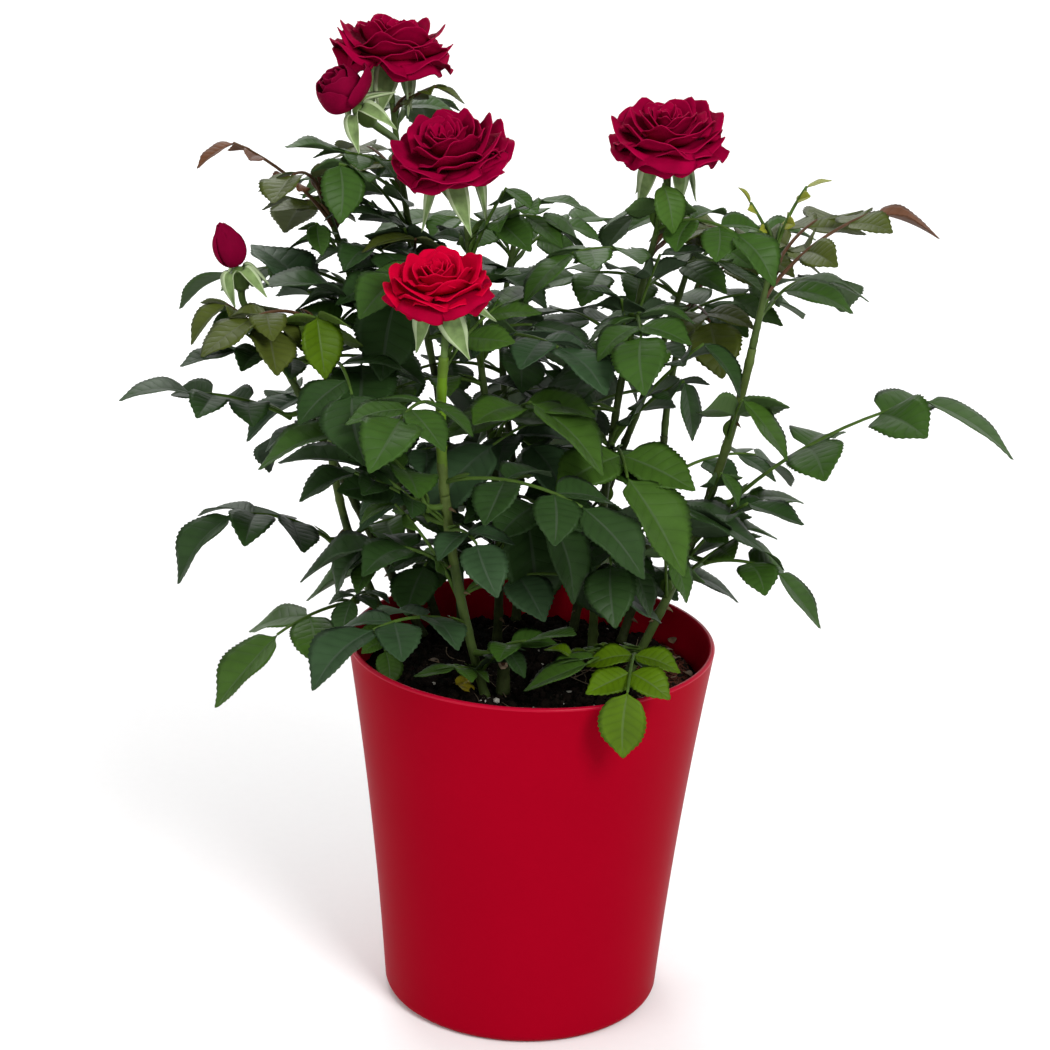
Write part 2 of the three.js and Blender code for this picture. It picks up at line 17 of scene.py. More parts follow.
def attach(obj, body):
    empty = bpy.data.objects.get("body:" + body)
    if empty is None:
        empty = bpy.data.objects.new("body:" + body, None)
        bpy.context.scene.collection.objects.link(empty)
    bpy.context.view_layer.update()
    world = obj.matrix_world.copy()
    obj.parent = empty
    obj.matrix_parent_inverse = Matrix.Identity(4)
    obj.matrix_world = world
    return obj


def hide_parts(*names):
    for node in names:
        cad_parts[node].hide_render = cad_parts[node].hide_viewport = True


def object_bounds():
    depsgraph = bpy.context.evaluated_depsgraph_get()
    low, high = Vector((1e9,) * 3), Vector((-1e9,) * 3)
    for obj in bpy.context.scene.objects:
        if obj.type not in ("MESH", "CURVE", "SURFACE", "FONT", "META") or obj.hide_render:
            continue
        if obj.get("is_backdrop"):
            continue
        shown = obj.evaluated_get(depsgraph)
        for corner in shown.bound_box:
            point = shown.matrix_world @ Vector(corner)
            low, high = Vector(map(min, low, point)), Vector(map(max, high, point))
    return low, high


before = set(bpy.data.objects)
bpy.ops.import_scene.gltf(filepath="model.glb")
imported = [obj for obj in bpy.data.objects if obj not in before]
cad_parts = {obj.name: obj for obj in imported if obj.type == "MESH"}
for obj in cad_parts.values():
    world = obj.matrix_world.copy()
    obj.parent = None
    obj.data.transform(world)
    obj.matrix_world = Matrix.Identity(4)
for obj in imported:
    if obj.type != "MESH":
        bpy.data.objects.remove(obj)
cad_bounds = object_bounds()
MM = 0.001
BOX = np.array([list(corner) for corner in cad_bounds]) / MM

# ---- Driving dimensions, as in the part's source (mm and degrees) ----

POT = dict(height=140, rim=67.5, foot=51.5, flare=0.35, wall=2.2, floor=3, corner=4)
SOIL = dict(top=126, edge=124, bank=8)
GAP = 0.3
CANE = dict(foot=2.2, tip=1.5, flare=1.3)
SHOOT = dict(foot=1.4, tip=1)
SPUR = dict(length=6, foot=1.3, tip=0.9, seat=0.8)
RACHIS = dict(foot=0.9, tip=0.6)
LEAFLET = dict(width=0.62, fold=0.22, curl=0.1)
LATERAL = dict(size=0.75, swing=(56, 78), droop=0.2)
PAIRS = {1: (0.6,), 2: (0.8, 0.45)}
ROOM = 1.15
SEED = 7919
PHYLLOTAXIS = 144
TURNS = (0, 16, -16, 32, -32)
YOUNG = dict(size=24, length=32, rise=42, sag=45)
OLD = dict(size=35, length=52, rise=20, sag=50)
HANG = 12
SPREAD = dict(bearing=14, rise=10, sag=12, length=0.14, size=0.1, hang=10, twist=16)
CLIMB = (0.1, 0.9)
PEDICEL = 1.5
HIP_RADIUS = 3.4
FIRST_SEPAL = 20
STUB = dict(foot=(-10, -21), height=14, radius=2.6)

CANES = {
    "front": ((-16, -25), (-32, -36, 206), (-2, 3)),
    "left": ((-50, 23), (-74, -2, 232), (-9, 8)),
    "bud": ((-41, 33), (-86, 10, 226), (-2, 8)),
    "centre": ((-13, 30), (-18, 14, 216), (2, 2)),
    "top": ((-27, 44), (-40, 40, 232), (2, 2)),
    "tall": ((-36, 46), (-62, 43, 228), (-2, 4)),
    "middle": ((23, 20), (27, 13, 216), (-1, 2)),
    "right": ((36, 2), (74, -6, 254), (5, 0)),
    "behind": ((16, 42), (34, 45, 206), (-2, 3)),
    "rear": ((-6, 52), (-12, 68, 204), (2, 0)),
    "flank": ((34, 32), (48, 56, 202), (3, 3)),
}

# Shoots: tip, number of leaves and the first leaf's bearing.
SHOOTS = {
    "front": ((-33, -46, 258), 4, 335),
    "left": ((-80, -14, 262), 4, 150),
    "bud": ((-104, -4, 262), 4, 210),
    "centre": ((-28, 1, 296), 6, 20),
    "top": ((-56, 31, 330), 7, 300),
    "tall": ((-84, 34, 302), 6, 250),
    "middle": ((41, 3, 302), 7, 190),
    "right": ((80, -6, 290), 5, 300),
    "behind": ((58, 42, 292), 7, 340),
    "rear": ((-10, 84, 276), 7, 60),
    "flank": ((60, 70, 262), 6, 20),
}

# Reaching leaves on spurs: cane, then share, bearing, rise, sag, length, size, hang and veer, and
# the tint of the leaf.
SPRAYS = {
    "far_left": ("bud", (0.95, 206, 32, 26, 40, 26, 4, -10), "dark"),
    "left_droop": ("left", (0.42, 213, 43, 40, 46, 32, 46, -6), "dark"),
    "left_low": ("left", (0.2, 222, 8, 30, 38, 35, 16, -10), "fresh"),
    "front_left": ("front", (0.95, 212, 66, 34, 44, 36, 46, -18), "mid"),
    "left_dark": ("front", (0.86, 163, 50, 30, 30, 31, 14, 16), "dark"),
    "centre_big": ("centre", (0.95, 272, 49, 30, 54, 36, 52, 50), "fresh"),
    "centre_low": ("centre", (0.7, 292, 30, 36, 44, 34, 55, 30), "dark"),
    "right_big": ("middle", (0.95, 275, 28, 44, 46, 40, 28, 48), "fresh"),
    "right_long": ("right", (0.55, 350, 49, 30, 82, 38, 44, 2), "mid"),
    "right_low": ("right", (0.46, 316, 62, 30, 24, 22, 38, 20), "dark"),
    "right_droop": ("right", (0.38, 342, 21, 40, 28, 26, 24, 2), "mid"),
    "over_rim": ("right", (0.06, 265, 38, 50, 68, 24, 66, -10), "lime"),
    "low_front": ("front", (0.22, 313, 40, 20, 24, 23, -6, 10), "mid"),
    "low_left": ("left", (0.1, 274, 23, 30, 42, 14, 48, 12), "fresh"),
}

# Reaching leaves on the shoots themselves.
SHOOT_LEAVES = (
    ("tall", (0.75, 211, 55, 30, 52, 16, 52, -8), "bronze"),
    ("top", (0.5, 236, 58, 40, 54, 22, 72, 40), "mid"),
    ("top", (0.3, 234, 10, 10, 40, 34, -16, -30), "dark"),
    ("right", (0.5, 10, 59, 40, 50, 25, 34, -10), "blush"),
    ("right", (0.95, 2, 78, 20, 26, 9, 36, 0), "yellow"),
    ("left", (0.5, 261, 57, 20, 26, 22, 100, 36), "lime"),
    ("left", (0.3, 186, 26, 20, 36, 21, 12, 0), "dark"),
    ("bud", (0.1, 217, 53, 20, 42, 17, 60, -14), "dark"),
)

# Tints of a shoot's leaves from its foot to its tip.
TINTS = {
    "front": ("dark", "mid", "mid", "fresh"),
    "left": ("blue", "dark", "mid", "olive"),
    "bud": ("dark", "dark", "mid", "olive"),
    "centre": ("dark", "blue", "mid", "mid"),
    "top": ("dark", "dark", "mid", "mid"),
    "tall": ("dark", "mid", "dark", "olive"),
    "middle": ("blue", "dark", "mid", "mid"),
    "right": ("dark", "mid", "mid", "olive"),
    "behind": ("dark", "dark", "mid", "mid"),
    "rear": ("dark", "mid", "blue", "mid"),
    "flank": ("dark", "dark", "mid", "olive"),
}

# Blooms and buds: shoot, share of the shoot, where the hip ends, bearing and lean of the axis,
# and radius.
BLOOMS = {
    "top": ("top", 1, (-56.5, 30.5, 344.5), 20, 4, 22.5),
    "second": ("centre", 1, (-32.5, -3, 314.5), 232, 22, 22.5),
    "right": ("middle", 1, (41, 2.5, 320.5), 265, 22, 22),
    "front": ("front", 1, (-34.5, -47, 279), 245, 34, 18.5),
}
HALF_OPEN = ("top", 0.84, (-67.2, 7.4, 332), 205, 46, 8.5)
CLOSED = ("bud", 1, (-107, -7, 277), 196, 20, 5.8)
CLOSED_HEIGHT = 16


# ---- Small helpers ----

UP = np.array([0.0, 0.0, 1.0])


def mix(a, b, t):
    return a + (b - a) * t


def unit(v):
    return v / np.linalg.norm(v)


def direction(bearing, rise):
    b, r = math.radians(bearing), math.radians(rise)
    return np.array([math.cos(r) * math.cos(b), math.cos(r) * math.sin(b), math.sin(r)])


def rotated(v, axis, angle):
    """v turned about a unit axis by degrees."""
    a = math.radians(angle)
    return v * math.cos(a) + np.cross(axis, v) * math.sin(a) + axis * (axis @ v) * (1 - math.cos(a))


def square_to(v, axis):
    """The part of v at right angles to a unit axis, as a unit vector."""
    return unit(v - axis * (v @ axis))


def in_box(points, margin=0):
    """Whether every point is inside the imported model's box."""
    return (points > BOX[0] + margin).all() and (points < BOX[1] - margin).all()


def smooth(a, b, x):
    t = np.clip((x - a) / (b - a), 0, 1)
    return t * t * (3 - 2 * t)


def seeded(seed):
    """The part's own repeatable stream of numbers from 0 to 1."""
    state = seed
    while True:
        state = (state * 1664525 + 1013904223) % 4294967296
        yield state / 4294967296


class Bezier:
    def __init__(self, *points):
        self.points = [np.array(p, float) for p in points]

    def at(self, t):
        points = self.points
        while len(points) > 1:
            points = [mix(a, b, t) for a, b in zip(points, points[1:])]
        return points[0]

    def tangent(self, t):
        return unit(self.at(t + 1e-4) - self.at(t - 1e-4))

    def length(self):
        stops = np.array([self.at(t) for t in np.linspace(0, 1, 60)])
        return np.linalg.norm(np.diff(stops, axis=0), axis=1).sum()


# ---- Gathering meshes ----


def placed(name, data):
    """A new object in the scene."""
    thing = bpy.data.objects.new(name, data)
    bpy.context.scene.collection.objects.link(thing)
    return thing


class Pile:
    """Points and faces gathered into one mesh, with a finish for each face."""

    def __init__(self):
        self.points, self.maps, self.faces, self.finishes = [], [], [], []
        self.count = 0
        self.names = []

    def add(self, points, uv, *groups):
        """Each group is (faces, finish name)."""
        self.points.append(points)
        self.maps.append(uv)
        for faces, finish in groups:
            if finish not in self.names:
                self.names.append(finish)
            self.faces.append(faces + self.count)
            self.finishes.append(np.full(len(faces), self.names.index(finish)))
        self.count += len(points)

    def piece(self, name, *nodes, slot):
        mesh = bpy.data.meshes.new(name)
        points = np.concatenate(self.points) * MM
        corners = np.concatenate([f.ravel() for f in self.faces])
        sizes = np.concatenate([np.full(len(f), f.shape[1]) for f in self.faces])
        mesh.vertices.add(len(points))
        mesh.vertices.foreach_set("co", points.astype(np.float32).ravel())
        mesh.loops.add(len(corners))
        mesh.loops.foreach_set("vertex_index", corners.astype(np.int32))
        mesh.polygons.add(len(sizes))
        mesh.polygons.foreach_set("loop_start", (np.cumsum(sizes) - sizes).astype(np.int32))
        mesh.polygons.foreach_set("material_index", np.concatenate(self.finishes).astype(np.int32))
        mesh.polygons.foreach_set("use_smooth", np.ones(len(sizes), bool))
        uv = np.concatenate(self.maps)[corners]
        mesh.uv_layers.new(name="UVMap").data.foreach_set("uv", uv.astype(np.float32).ravel())
        mesh.update(calc_edges=True)
        for finish in self.names:
            mesh.materials.append(MATERIALS[finish])
        piece = placed(name, mesh)
        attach(piece, "root")
        if nodes:
            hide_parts(*nodes)


def grid_uv(rows, columns):
    v, u = np.meshgrid(np.linspace(0, 1, rows), np.linspace(0, 1, columns), indexing="ij")
    return np.stack([u, v], -1)


def quads(index):
    """The quads between the rows and columns of a grid of indices."""
    corners = [index[:-1, :-1], index[1:, :-1], index[1:, 1:], index[:-1, 1:]]
    return np.stack(corners, -1).reshape(-1, 4)


def sheet(pile, grid, thickness, finish, under=None, strips=()):
    """A closed thin sheet whose top is the grid, thinning to nothing at its margins. A strip is a
    slice of rows, a slice of columns and the finish that both sides have there."""
    rows, columns = grid.shape[:2]
    along, across = np.gradient(grid, axis=0), np.gradient(grid, axis=1)
    normal = np.cross(along, across)
    normal /= np.linalg.norm(normal, axis=2, keepdims=True) + 1e-9
    low = (grid - normal * thickness)[1:-1, 1:-1]
    top_index = np.arange(rows * columns).reshape(rows, columns)
    low_index = top_index.copy()
    low_index[1:-1, 1:-1] = rows * columns + np.arange(low[..., 0].size).reshape(low.shape[:2])
    finishes = np.full((2, rows - 1, columns - 1), 0)
    names = [finish, under or finish]
    finishes[1] = 1
    for strip_rows, strip_columns, name in strips:
        names.append(name)
        finishes[:, strip_rows, strip_columns] = len(names) - 1
    faces = np.stack([quads(top_index), quads(low_index)[:, ::-1]])
    points = np.concatenate([grid.reshape(-1, 3), low.reshape(-1, 3)])
    uv = grid_uv(rows, columns)
    maps = np.concatenate([uv.reshape(-1, 2), uv[1:-1, 1:-1].reshape(-1, 2)])
    groups = [(faces[finishes.reshape(2, -1) == k], name) for k, name in enumerate(names)]
    pile.add(points, maps, *[group for group in groups if len(group[0])])


def circle(sides):
    """The angles of a ring's corners."""
    return 2 * math.pi * np.arange(sides) / sides


def round_z(radius, height, turn):
    """Points by radius, height and turn about +Z."""
    return np.stack(np.broadcast_arrays(radius * np.cos(turn), radius * np.sin(turn), height), -1)


def closed(rings, ends):
    """Rings of points, closed by a fan to a point at each end: the points, their UVs, and the faces
    of the skin, the foot and the head."""
    count, sides = rings.shape[:2]
    index = np.arange(count * sides).reshape(count, sides)
    index = np.concatenate([index, index[:, :1]], axis=1)
    first = count * sides
    foot = np.stack([np.full(sides, first), index[0, 1:], index[0, :-1]], -1)
    head = np.stack([np.full(sides, first + 1), index[-1, :-1], index[-1, 1:]], -1)
    uv = np.concatenate([grid_uv(count, sides).reshape(-1, 2), [[0.5, 0], [0.5, 1]]])
    return np.concatenate([rings.reshape(-1, 3), ends]), uv, quads(index)[:, ::-1], foot, head


def tube(pile, curve, shares, radii, sides, bands, relief=None, tip=True):
    """A closed tube round a curve. Its finish is one name, or equal bands of them from the foot up.
    Relief is a share of the radius added at each ring and side."""
    bands = [bands] if isinstance(bands, str) else bands
    turn = circle(sides)
    side = square_to(np.array([1.0, 0.02, 0.03]), curve.tangent(shares[0]))
    rings = []
    for k, share in enumerate(shares):
        centre, tangent = curve.at(share), curve.tangent(share)
        side = square_to(side, tangent)
        radius = radii[k] * (1 + (relief[k] if relief is not None else 0 * turn))
        over = np.outer(radius * np.sin(turn), np.cross(tangent, side))
        rings.append(centre + np.outer(radius * np.cos(turn), side) + over)
    ends = np.array([curve.at(shares[0]), centre + (tangent * radii[-1] * 0.5 if tip else 0)])
    points, uv, skin, foot, head = closed(np.array(rings), ends)
    parts = zip(np.array_split(skin, len(bands)), bands)
    pile.add(points, uv, *parts, (foot, bands[0]), (head, bands[-1]))


# ---- Materials ----

MATERIALS = {}


def wire(tree, node, values):
    """Gives a node's inputs their values, or links them to the outputs that stand for values."""
    for name, value in values.items():
        if isinstance(value, bpy.types.NodeSocket):
            tree.links.new(value, node.inputs[name])
        else:
            node.inputs[name].default_value = value


def add_node(tree, kind, values):
    """The outputs of a new node with these inputs."""
    node = tree.nodes.new("ShaderNode" + kind)
    wire(tree, node, values)
    return node.outputs


def finish(name, colour, roughness, spread, grain=250, bump=0.0, veins=0.0, specular=0.12):
    """A procedural material: a plain colour that varies softly, with a fine relief."""
    material = MATERIALS[name] = bpy.data.materials.new("finish_" + name)
    material.use_nodes = True
    tree = material.node_tree
    place = add_node(tree, "TexCoord", {})

    def noise(scale):
        values = {"Scale": scale, "Detail": 3, "Vector": place["Object"]}
        return add_node(tree, "TexNoise", values)["Fac"]

    ramp = tree.nodes.new("ShaderNodeValToRGB")
    for end, shade, at in ((0, 1 - spread, 0.3), (1, 1 + spread, 0.7)):
        ramp.color_ramp.elements[end].color = (*(min(1, c * shade) for c in colour), 1)
        ramp.color_ramp.elements[end].position = at
    fac = noise(grain)
    if veins:
        height = vein_height(tree, place["UV"])
        fac = add_node(tree, "Mix", {"Factor": 0.2, "A": fac, "B": height})["Result"]
    wire(tree, ramp, {"Fac": fac})
    look = {"Roughness": roughness, "Specular IOR Level": specular}
    look["Base Color"] = ramp.outputs["Color"]
    if bump or veins:
        relief = tree.nodes.new("ShaderNodeBump")
        wire(tree, relief, {"Strength": bump or veins, "Distance": 0.0004})
        wire(tree, relief, {"Height": height if veins else noise(grain * 6)})
        look["Normal"] = relief.outputs["Normal"]
    wire(tree, tree.nodes["Principled BSDF"], look)


def vein_height(tree, uv):
    """Height of a blade's fine side veins, which slant forward from the midrib."""

    def maths(operation, a, b=0.0):
        node = tree.nodes.new("ShaderNodeMath")
        node.operation = operation
        wire(tree, node, {0: a, 1: b})
        return node.outputs["Value"]

    split = add_node(tree, "SeparateXYZ", {"Vector": uv})
    aside = maths("ABSOLUTE", maths("SUBTRACT", split["X"], 0.5))
    ahead = maths("SUBTRACT", split["Y"], maths("MULTIPLY", aside, 0.42))
    wave = maths("SINE", maths("MULTIPLY", ahead, math.pi * 8))
    return maths("POWER", maths("ABSOLUTE", wave), 0.4)


LEAF_TINTS = {
    "dark": (0.018, 0.043, 0.01),
    "mid": (0.028, 0.068, 0.009),
    "blue": (0.026, 0.055, 0.022),
    "fresh": (0.036, 0.082, 0.01),
    "lime": (0.056, 0.108, 0.002),
    "olive": (0.05, 0.066, 0.009),
    "yellow": (0.2, 0.22, 0.02),
    "bronze": (0.105, 0.038, 0.013),
    "dead": (0.45, 0.36, 0.02),
    "dry": (0.13, 0.09, 0.05),
}

# Other finishes by how much they shine: name, colour, roughness and spread, and where it isn't the
# usual, grain and bump.
FINISHES = {
    0.12: (
        ("rachis_green", (0.05, 0.095, 0.014), 0.5, 0.2),
        ("rachis_red", (0.08, 0.04, 0.02), 0.5, 0.2),
        ("cane_green", (0.048, 0.076, 0.018), 0.5, 0.25, 160, 0.3),
        ("cane_fresh", (0.068, 0.1, 0.022), 0.5, 0.2, 160, 0.3),
        ("cane_light", (0.078, 0.137, 0.014), 0.48, 0.18, 160, 0.25),
        ("cane_bright", (0.09, 0.18, 0.007), 0.45, 0.15, 160, 0.2),
        ("cane_old", (0.03, 0.042, 0.011), 0.65, 0.35, 220, 0.6),
        ("prickle", (0.1, 0.07, 0.035), 0.5, 0.2),
        ("cut_wood", (0.4, 0.3, 0.2), 0.8, 0.25, 700, 0.5),
        ("cut_pith", (0.1, 0.045, 0.025), 0.9, 0.3, 700, 0.5),
        ("sepal", (0.17, 0.25, 0.09), 0.65, 0.35, 260),
        ("sepal_edge", (0.36, 0.44, 0.25), 0.8, 0.1),
        ("hip", (0.085, 0.14, 0.035), 0.5, 0.15),
        ("perlite", (0.42, 0.4, 0.35), 0.9, 0.15, 900, 0.6),
        ("root_pale", (0.13, 0.1, 0.065), 0.8, 0.25),
        ("root_brown", (0.065, 0.02, 0.011), 0.8, 0.35),
    ),
    # The lip's lighter red is a painted highlight along the rolled lip; its stronger shine is real.
    0.1: (("pot_lip", (0.36, 0.002, 0.02), 0.3, 0.03, 60),),
    0.04: (
        ("compost", (0.004, 0.0042, 0.0025), 0.95, 0.5, 500, 1.0),
        ("crumb", (0.009, 0.0065, 0.0048), 0.95, 0.6, 300, 0.8),
    ),
    0.008: (
        # Each petal colour's lighter rim copy is a painted sheen, where the rolled rims catch the
        # light.
        ("petal", (0.24, 0.0003, 0.027), 0.6, 0.25, 120, 0.12),
        ("petal_rim", (0.28, 0.003, 0.036), 0.5, 0.2),
        # The front bloom's two brighter petal colours, each with its rim copy, are painted light: the
        # lighter one for its inner rings, the darker one for its two outer rings that hang below.
        ("petal_mid", (0.3, 0.0003, 0.022), 0.6, 0.2, 120, 0.12),
        ("petal_mid_rim", (0.36, 0.002, 0.03), 0.5, 0.1),
        ("petal_bright", (0.48, 0.0003, 0.024), 0.6, 0.18, 120, 0.12),
        ("petal_bright_rim", (0.52, 0.002, 0.03), 0.5, 0.1),
        ("petal_bud", (0.15, 0.001, 0.02), 0.6, 0.2, 120, 0.12),
        ("petal_bud_rim", (0.17, 0.003, 0.026), 0.5, 0.1),
        ("pot_red", (0.275, 0.0002, 0.009), 0.36, 0.025, 18, 0.02),
    ),
    0.5: (("floor_white", (0.9, 0.9, 0.9), 0.75, 0.005),),
}


def make_materials():
    for tint, colour in LEAF_TINTS.items():
        under = tuple(mix(c, 0.12, 0.13) for c in colour)
        vein = tuple(mix(c, 0.2, 0.1) for c in colour)
        finish("leaf_" + tint, colour, 0.45, 0.2, grain=90, veins=0.32)
        finish("under_" + tint, under, 0.65, 0.1, grain=90, veins=0.15)
        finish("vein_" + tint, vein, 0.5, 0.06)
    for specular, rows in FINISHES.items():
        for row in rows:
            finish(*row, specular=specular)


# ---- Camera, light and floor ----

# The lens and sensor in mm, the place in metres, and the pitch and roll in degrees.
CAMERA = dict(lens=90, sensor=36, place=(-0.0038, -0.9, 0.492), pitch=-18.91, roll=1.9)
# The floor in mm: half its width, its front edge, where and how wide it bends up, its top, and how
# far it is below the pot.
FLOOR = dict(half=3200, front=-2400, back=1600, bend=900, top=2600, drop=0.05)
# Lamps in metres: place, size, power and what they are aimed at.
LAMPS = {
    "key": ((0.75, -1.25, 1.3), 0.7, 27, (0, 0, 0.18)),
    "fill": ((-1.3, -0.9, 0.8), 1.2, 8, (0, 0, 0.18)),
    "back": ((-0.4, 1.3, 1.4), 1.0, 12, (0, 0, 0.18)),
    "backdrop": ((0, 0.9, 1.9), 1.6, 22, (0, 2.6, 0.9)),
}
# Even light from all round.
SKYLIGHT = 0.55


def stage():
    """The camera, a pale floor that curves up behind, and soft light."""
    camera = placed("camera", bpy.data.cameras.new("camera"))
    camera.data.lens = CAMERA["lens"]
    camera.data.sensor_width = CAMERA["sensor"]
    pitch = Matrix.Rotation(math.radians(90 + CAMERA["pitch"]), 4, "X")
    roll = Matrix.Rotation(math.radians(CAMERA["roll"]), 4, "Z")
    camera.matrix_world = Matrix.Translation(CAMERA["place"]) @ pitch @ roll
    bpy.context.scene.camera = camera

    back, bend, half = FLOOR["back"], FLOOR["bend"], FLOOR["half"]
    turns = np.linspace(0, math.pi / 2, 13)
    profile = [(FLOOR["front"], 0)]
    profile += [(back + bend * math.sin(a), bend * (1 - math.cos(a))) for a in turns]
    profile += [(back + bend, FLOOR["top"])]
    rows = np.array([[(x, y, z - FLOOR["drop"]) for x in (-half, 0, half)] for y, z in profile])
    index = np.arange(rows[..., 0].size).reshape(rows.shape[:2])
    mesh = bpy.data.meshes.new("floor")
    mesh.from_pydata((rows.reshape(-1, 3) * MM).tolist(), [], quads(index)[:, ::-1].tolist())
    mesh.shade_smooth()
    mesh.materials.append(MATERIALS["floor_white"])
    floor = placed("floor", mesh)
    floor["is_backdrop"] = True

    for name, (place, size, power, target) in LAMPS.items():
        lamp = placed(name, bpy.data.lights.new(name, "AREA"))
        lamp.data.shape = "DISK"
        lamp.data.size = size
        lamp.data.energy = power
        behind = -unit(np.array(target) - np.array(place))
        side = unit(np.cross(UP, behind))
        turned = Matrix(np.stack([side, np.cross(behind, side), behind], -1)).to_4x4()
        lamp.matrix_world = Matrix.Translation(place) @ turned
    world = bpy.context.scene.world = bpy.data.worlds.new("world")
    world.use_nodes = True
    sky = world.node_tree.nodes["Background"].inputs
    sky["Color"].default_value = (1, 1, 1, 1)
    sky["Strength"].default_value = SKYLIGHT
    bpy.context.scene.view_settings.view_transform = "Standard"


# ---- Pot and compost ----


def pot_radius(height):
    t = height / POT["height"]
    return mix(POT["foot"], POT["rim"], (1 - POT["flare"]) * t + POT["flare"] * t * t)


def inner_radius(height):
    return pot_radius(height) - POT["wall"]


POT_SIDES = 180


def arc(radius, height, bend, first, last, count):
    """Points of radius and height round an arc's middle."""
    turns = np.linspace(first, last, count)
    return [(radius + bend * math.cos(a), height + bend * math.sin(a)) for a in turns]


def make_pot():
    """The pot's shell: a rounded foot, a flared wall, a rolled lip and a solid bottom."""
    corner, rim, lip = POT["corner"], POT["height"] - POT["wall"] / 2, POT["wall"] / 2
    bottom = arc(pot_radius(corner) - corner, corner, corner, -math.pi / 2, 0, 9)
    wall = [(pot_radius(h), h) for h in np.linspace(8, rim, 40)]
    rolled = arc(pot_radius(POT["height"]) - lip, rim, lip, 0, math.pi, 9)[1:-1]
    inner = [(inner_radius(h), h) for h in np.linspace(rim, POT["floor"], 24)]
    profile = np.array([*bottom, *wall, *rolled, *inner])
    rings = round_z(profile[:, :1], profile[:, 1:], circle(POT_SIDES))
    points, uv, skin, foot, head = closed(rings, [[0, 0, 0], [0, 0, POT["floor"]]])
    # The faces over the rolled lip take a lighter red, a painted highlight.
    last = len(bottom) + len(wall)
    band = slice(POT_SIDES * (last - 1), POT_SIDES * (last + 4))
    red = [(faces, "pot_red") for faces in (np.delete(skin, band, axis=0), foot, head)]
    pile = Pile()
    pile.add(points, uv, *red, (skin[band], "pot_lip"))
    pile.piece("pot_shell", "pot", slot="pot")


def soil_height(x, y, noise):
    """The compost's surface: level in the middle, banked down at the wall, with soft hollows."""
    radius = np.hypot(x, y)
    wall = inner_radius(SOIL["edge"]) - GAP
    bank = smooth(wall - SOIL["bank"], wall, radius) * (SOIL["top"] - SOIL["edge"])
    waves = sum(a * np.sin(kx * x + ky * y + p) for a, kx, ky, p in noise)
    return SOIL["top"] - 0.6 - bank + waves


def lumps(pile, places, sizes, rng, finish_name):
    """Small irregular grains, each a roughened ball of 20 faces."""
    golden = (1 + 5**0.5) / 2
    ball = np.array([(0, a, b * golden) for a in (-1, 1) for b in (-1, 1)])
    ball = np.concatenate([np.roll(ball, k, axis=1) for k in range(3)])
    ball /= np.linalg.norm(ball[0])
    gaps = np.linalg.norm(ball[:, None] - ball, axis=2)
    threes = itertools.combinations(range(12), 3)
    faces = np.array([three for three in threes if gaps[np.ix_(three, three)].max() < 1.2])
    a, b, c = (ball[faces[:, k]] for k in range(3))
    inward = (np.cross(b - a, c - a) * a).sum(axis=1) < 0
    faces[inward] = faces[inward][:, ::-1]
    count = len(places)
    stretch = rng.uniform(0.6, 1.3, (count, 1, 3))
    rough = rng.uniform(0.75, 1.2, (count, 12, 1))
    points = places[:, None, :] + ball * rough * stretch * sizes[:, None, None]
    every = (faces[None] + 12 * np.arange(count)[:, None, None]).reshape(-1, 3)
    pile.add(points.reshape(-1, 3), np.zeros((count * 12, 2)), (every, finish_name))


# Waves of the compost's surface: how many, how high, and how many radians to the mm at most.
WAVES = ((5, 0.35, 0.18), (8, 0.16, 0.7))
# Grains: how many, and their smallest and largest radius. The perlite in the collar lies round the
# front cane's foot.
CRUMBS = (3600, 0.4, 2.4)
PERLITE = (70, 0.35, 1.3)
COLLAR = dict(grains=14, place=(-14.5, -29.5))
# Rootlets: how many, their step and their radius, with the middle and spread of a mat of them by
# the right wall, and the reach of the loose ones.
MAT = dict(roots=200, x=(54, 6), y=(-5, 13), step=5, radius=(0.15, 0.35))
LOOSE = dict(roots=24, reach=52, step=6, radius=(0.15, 0.32))


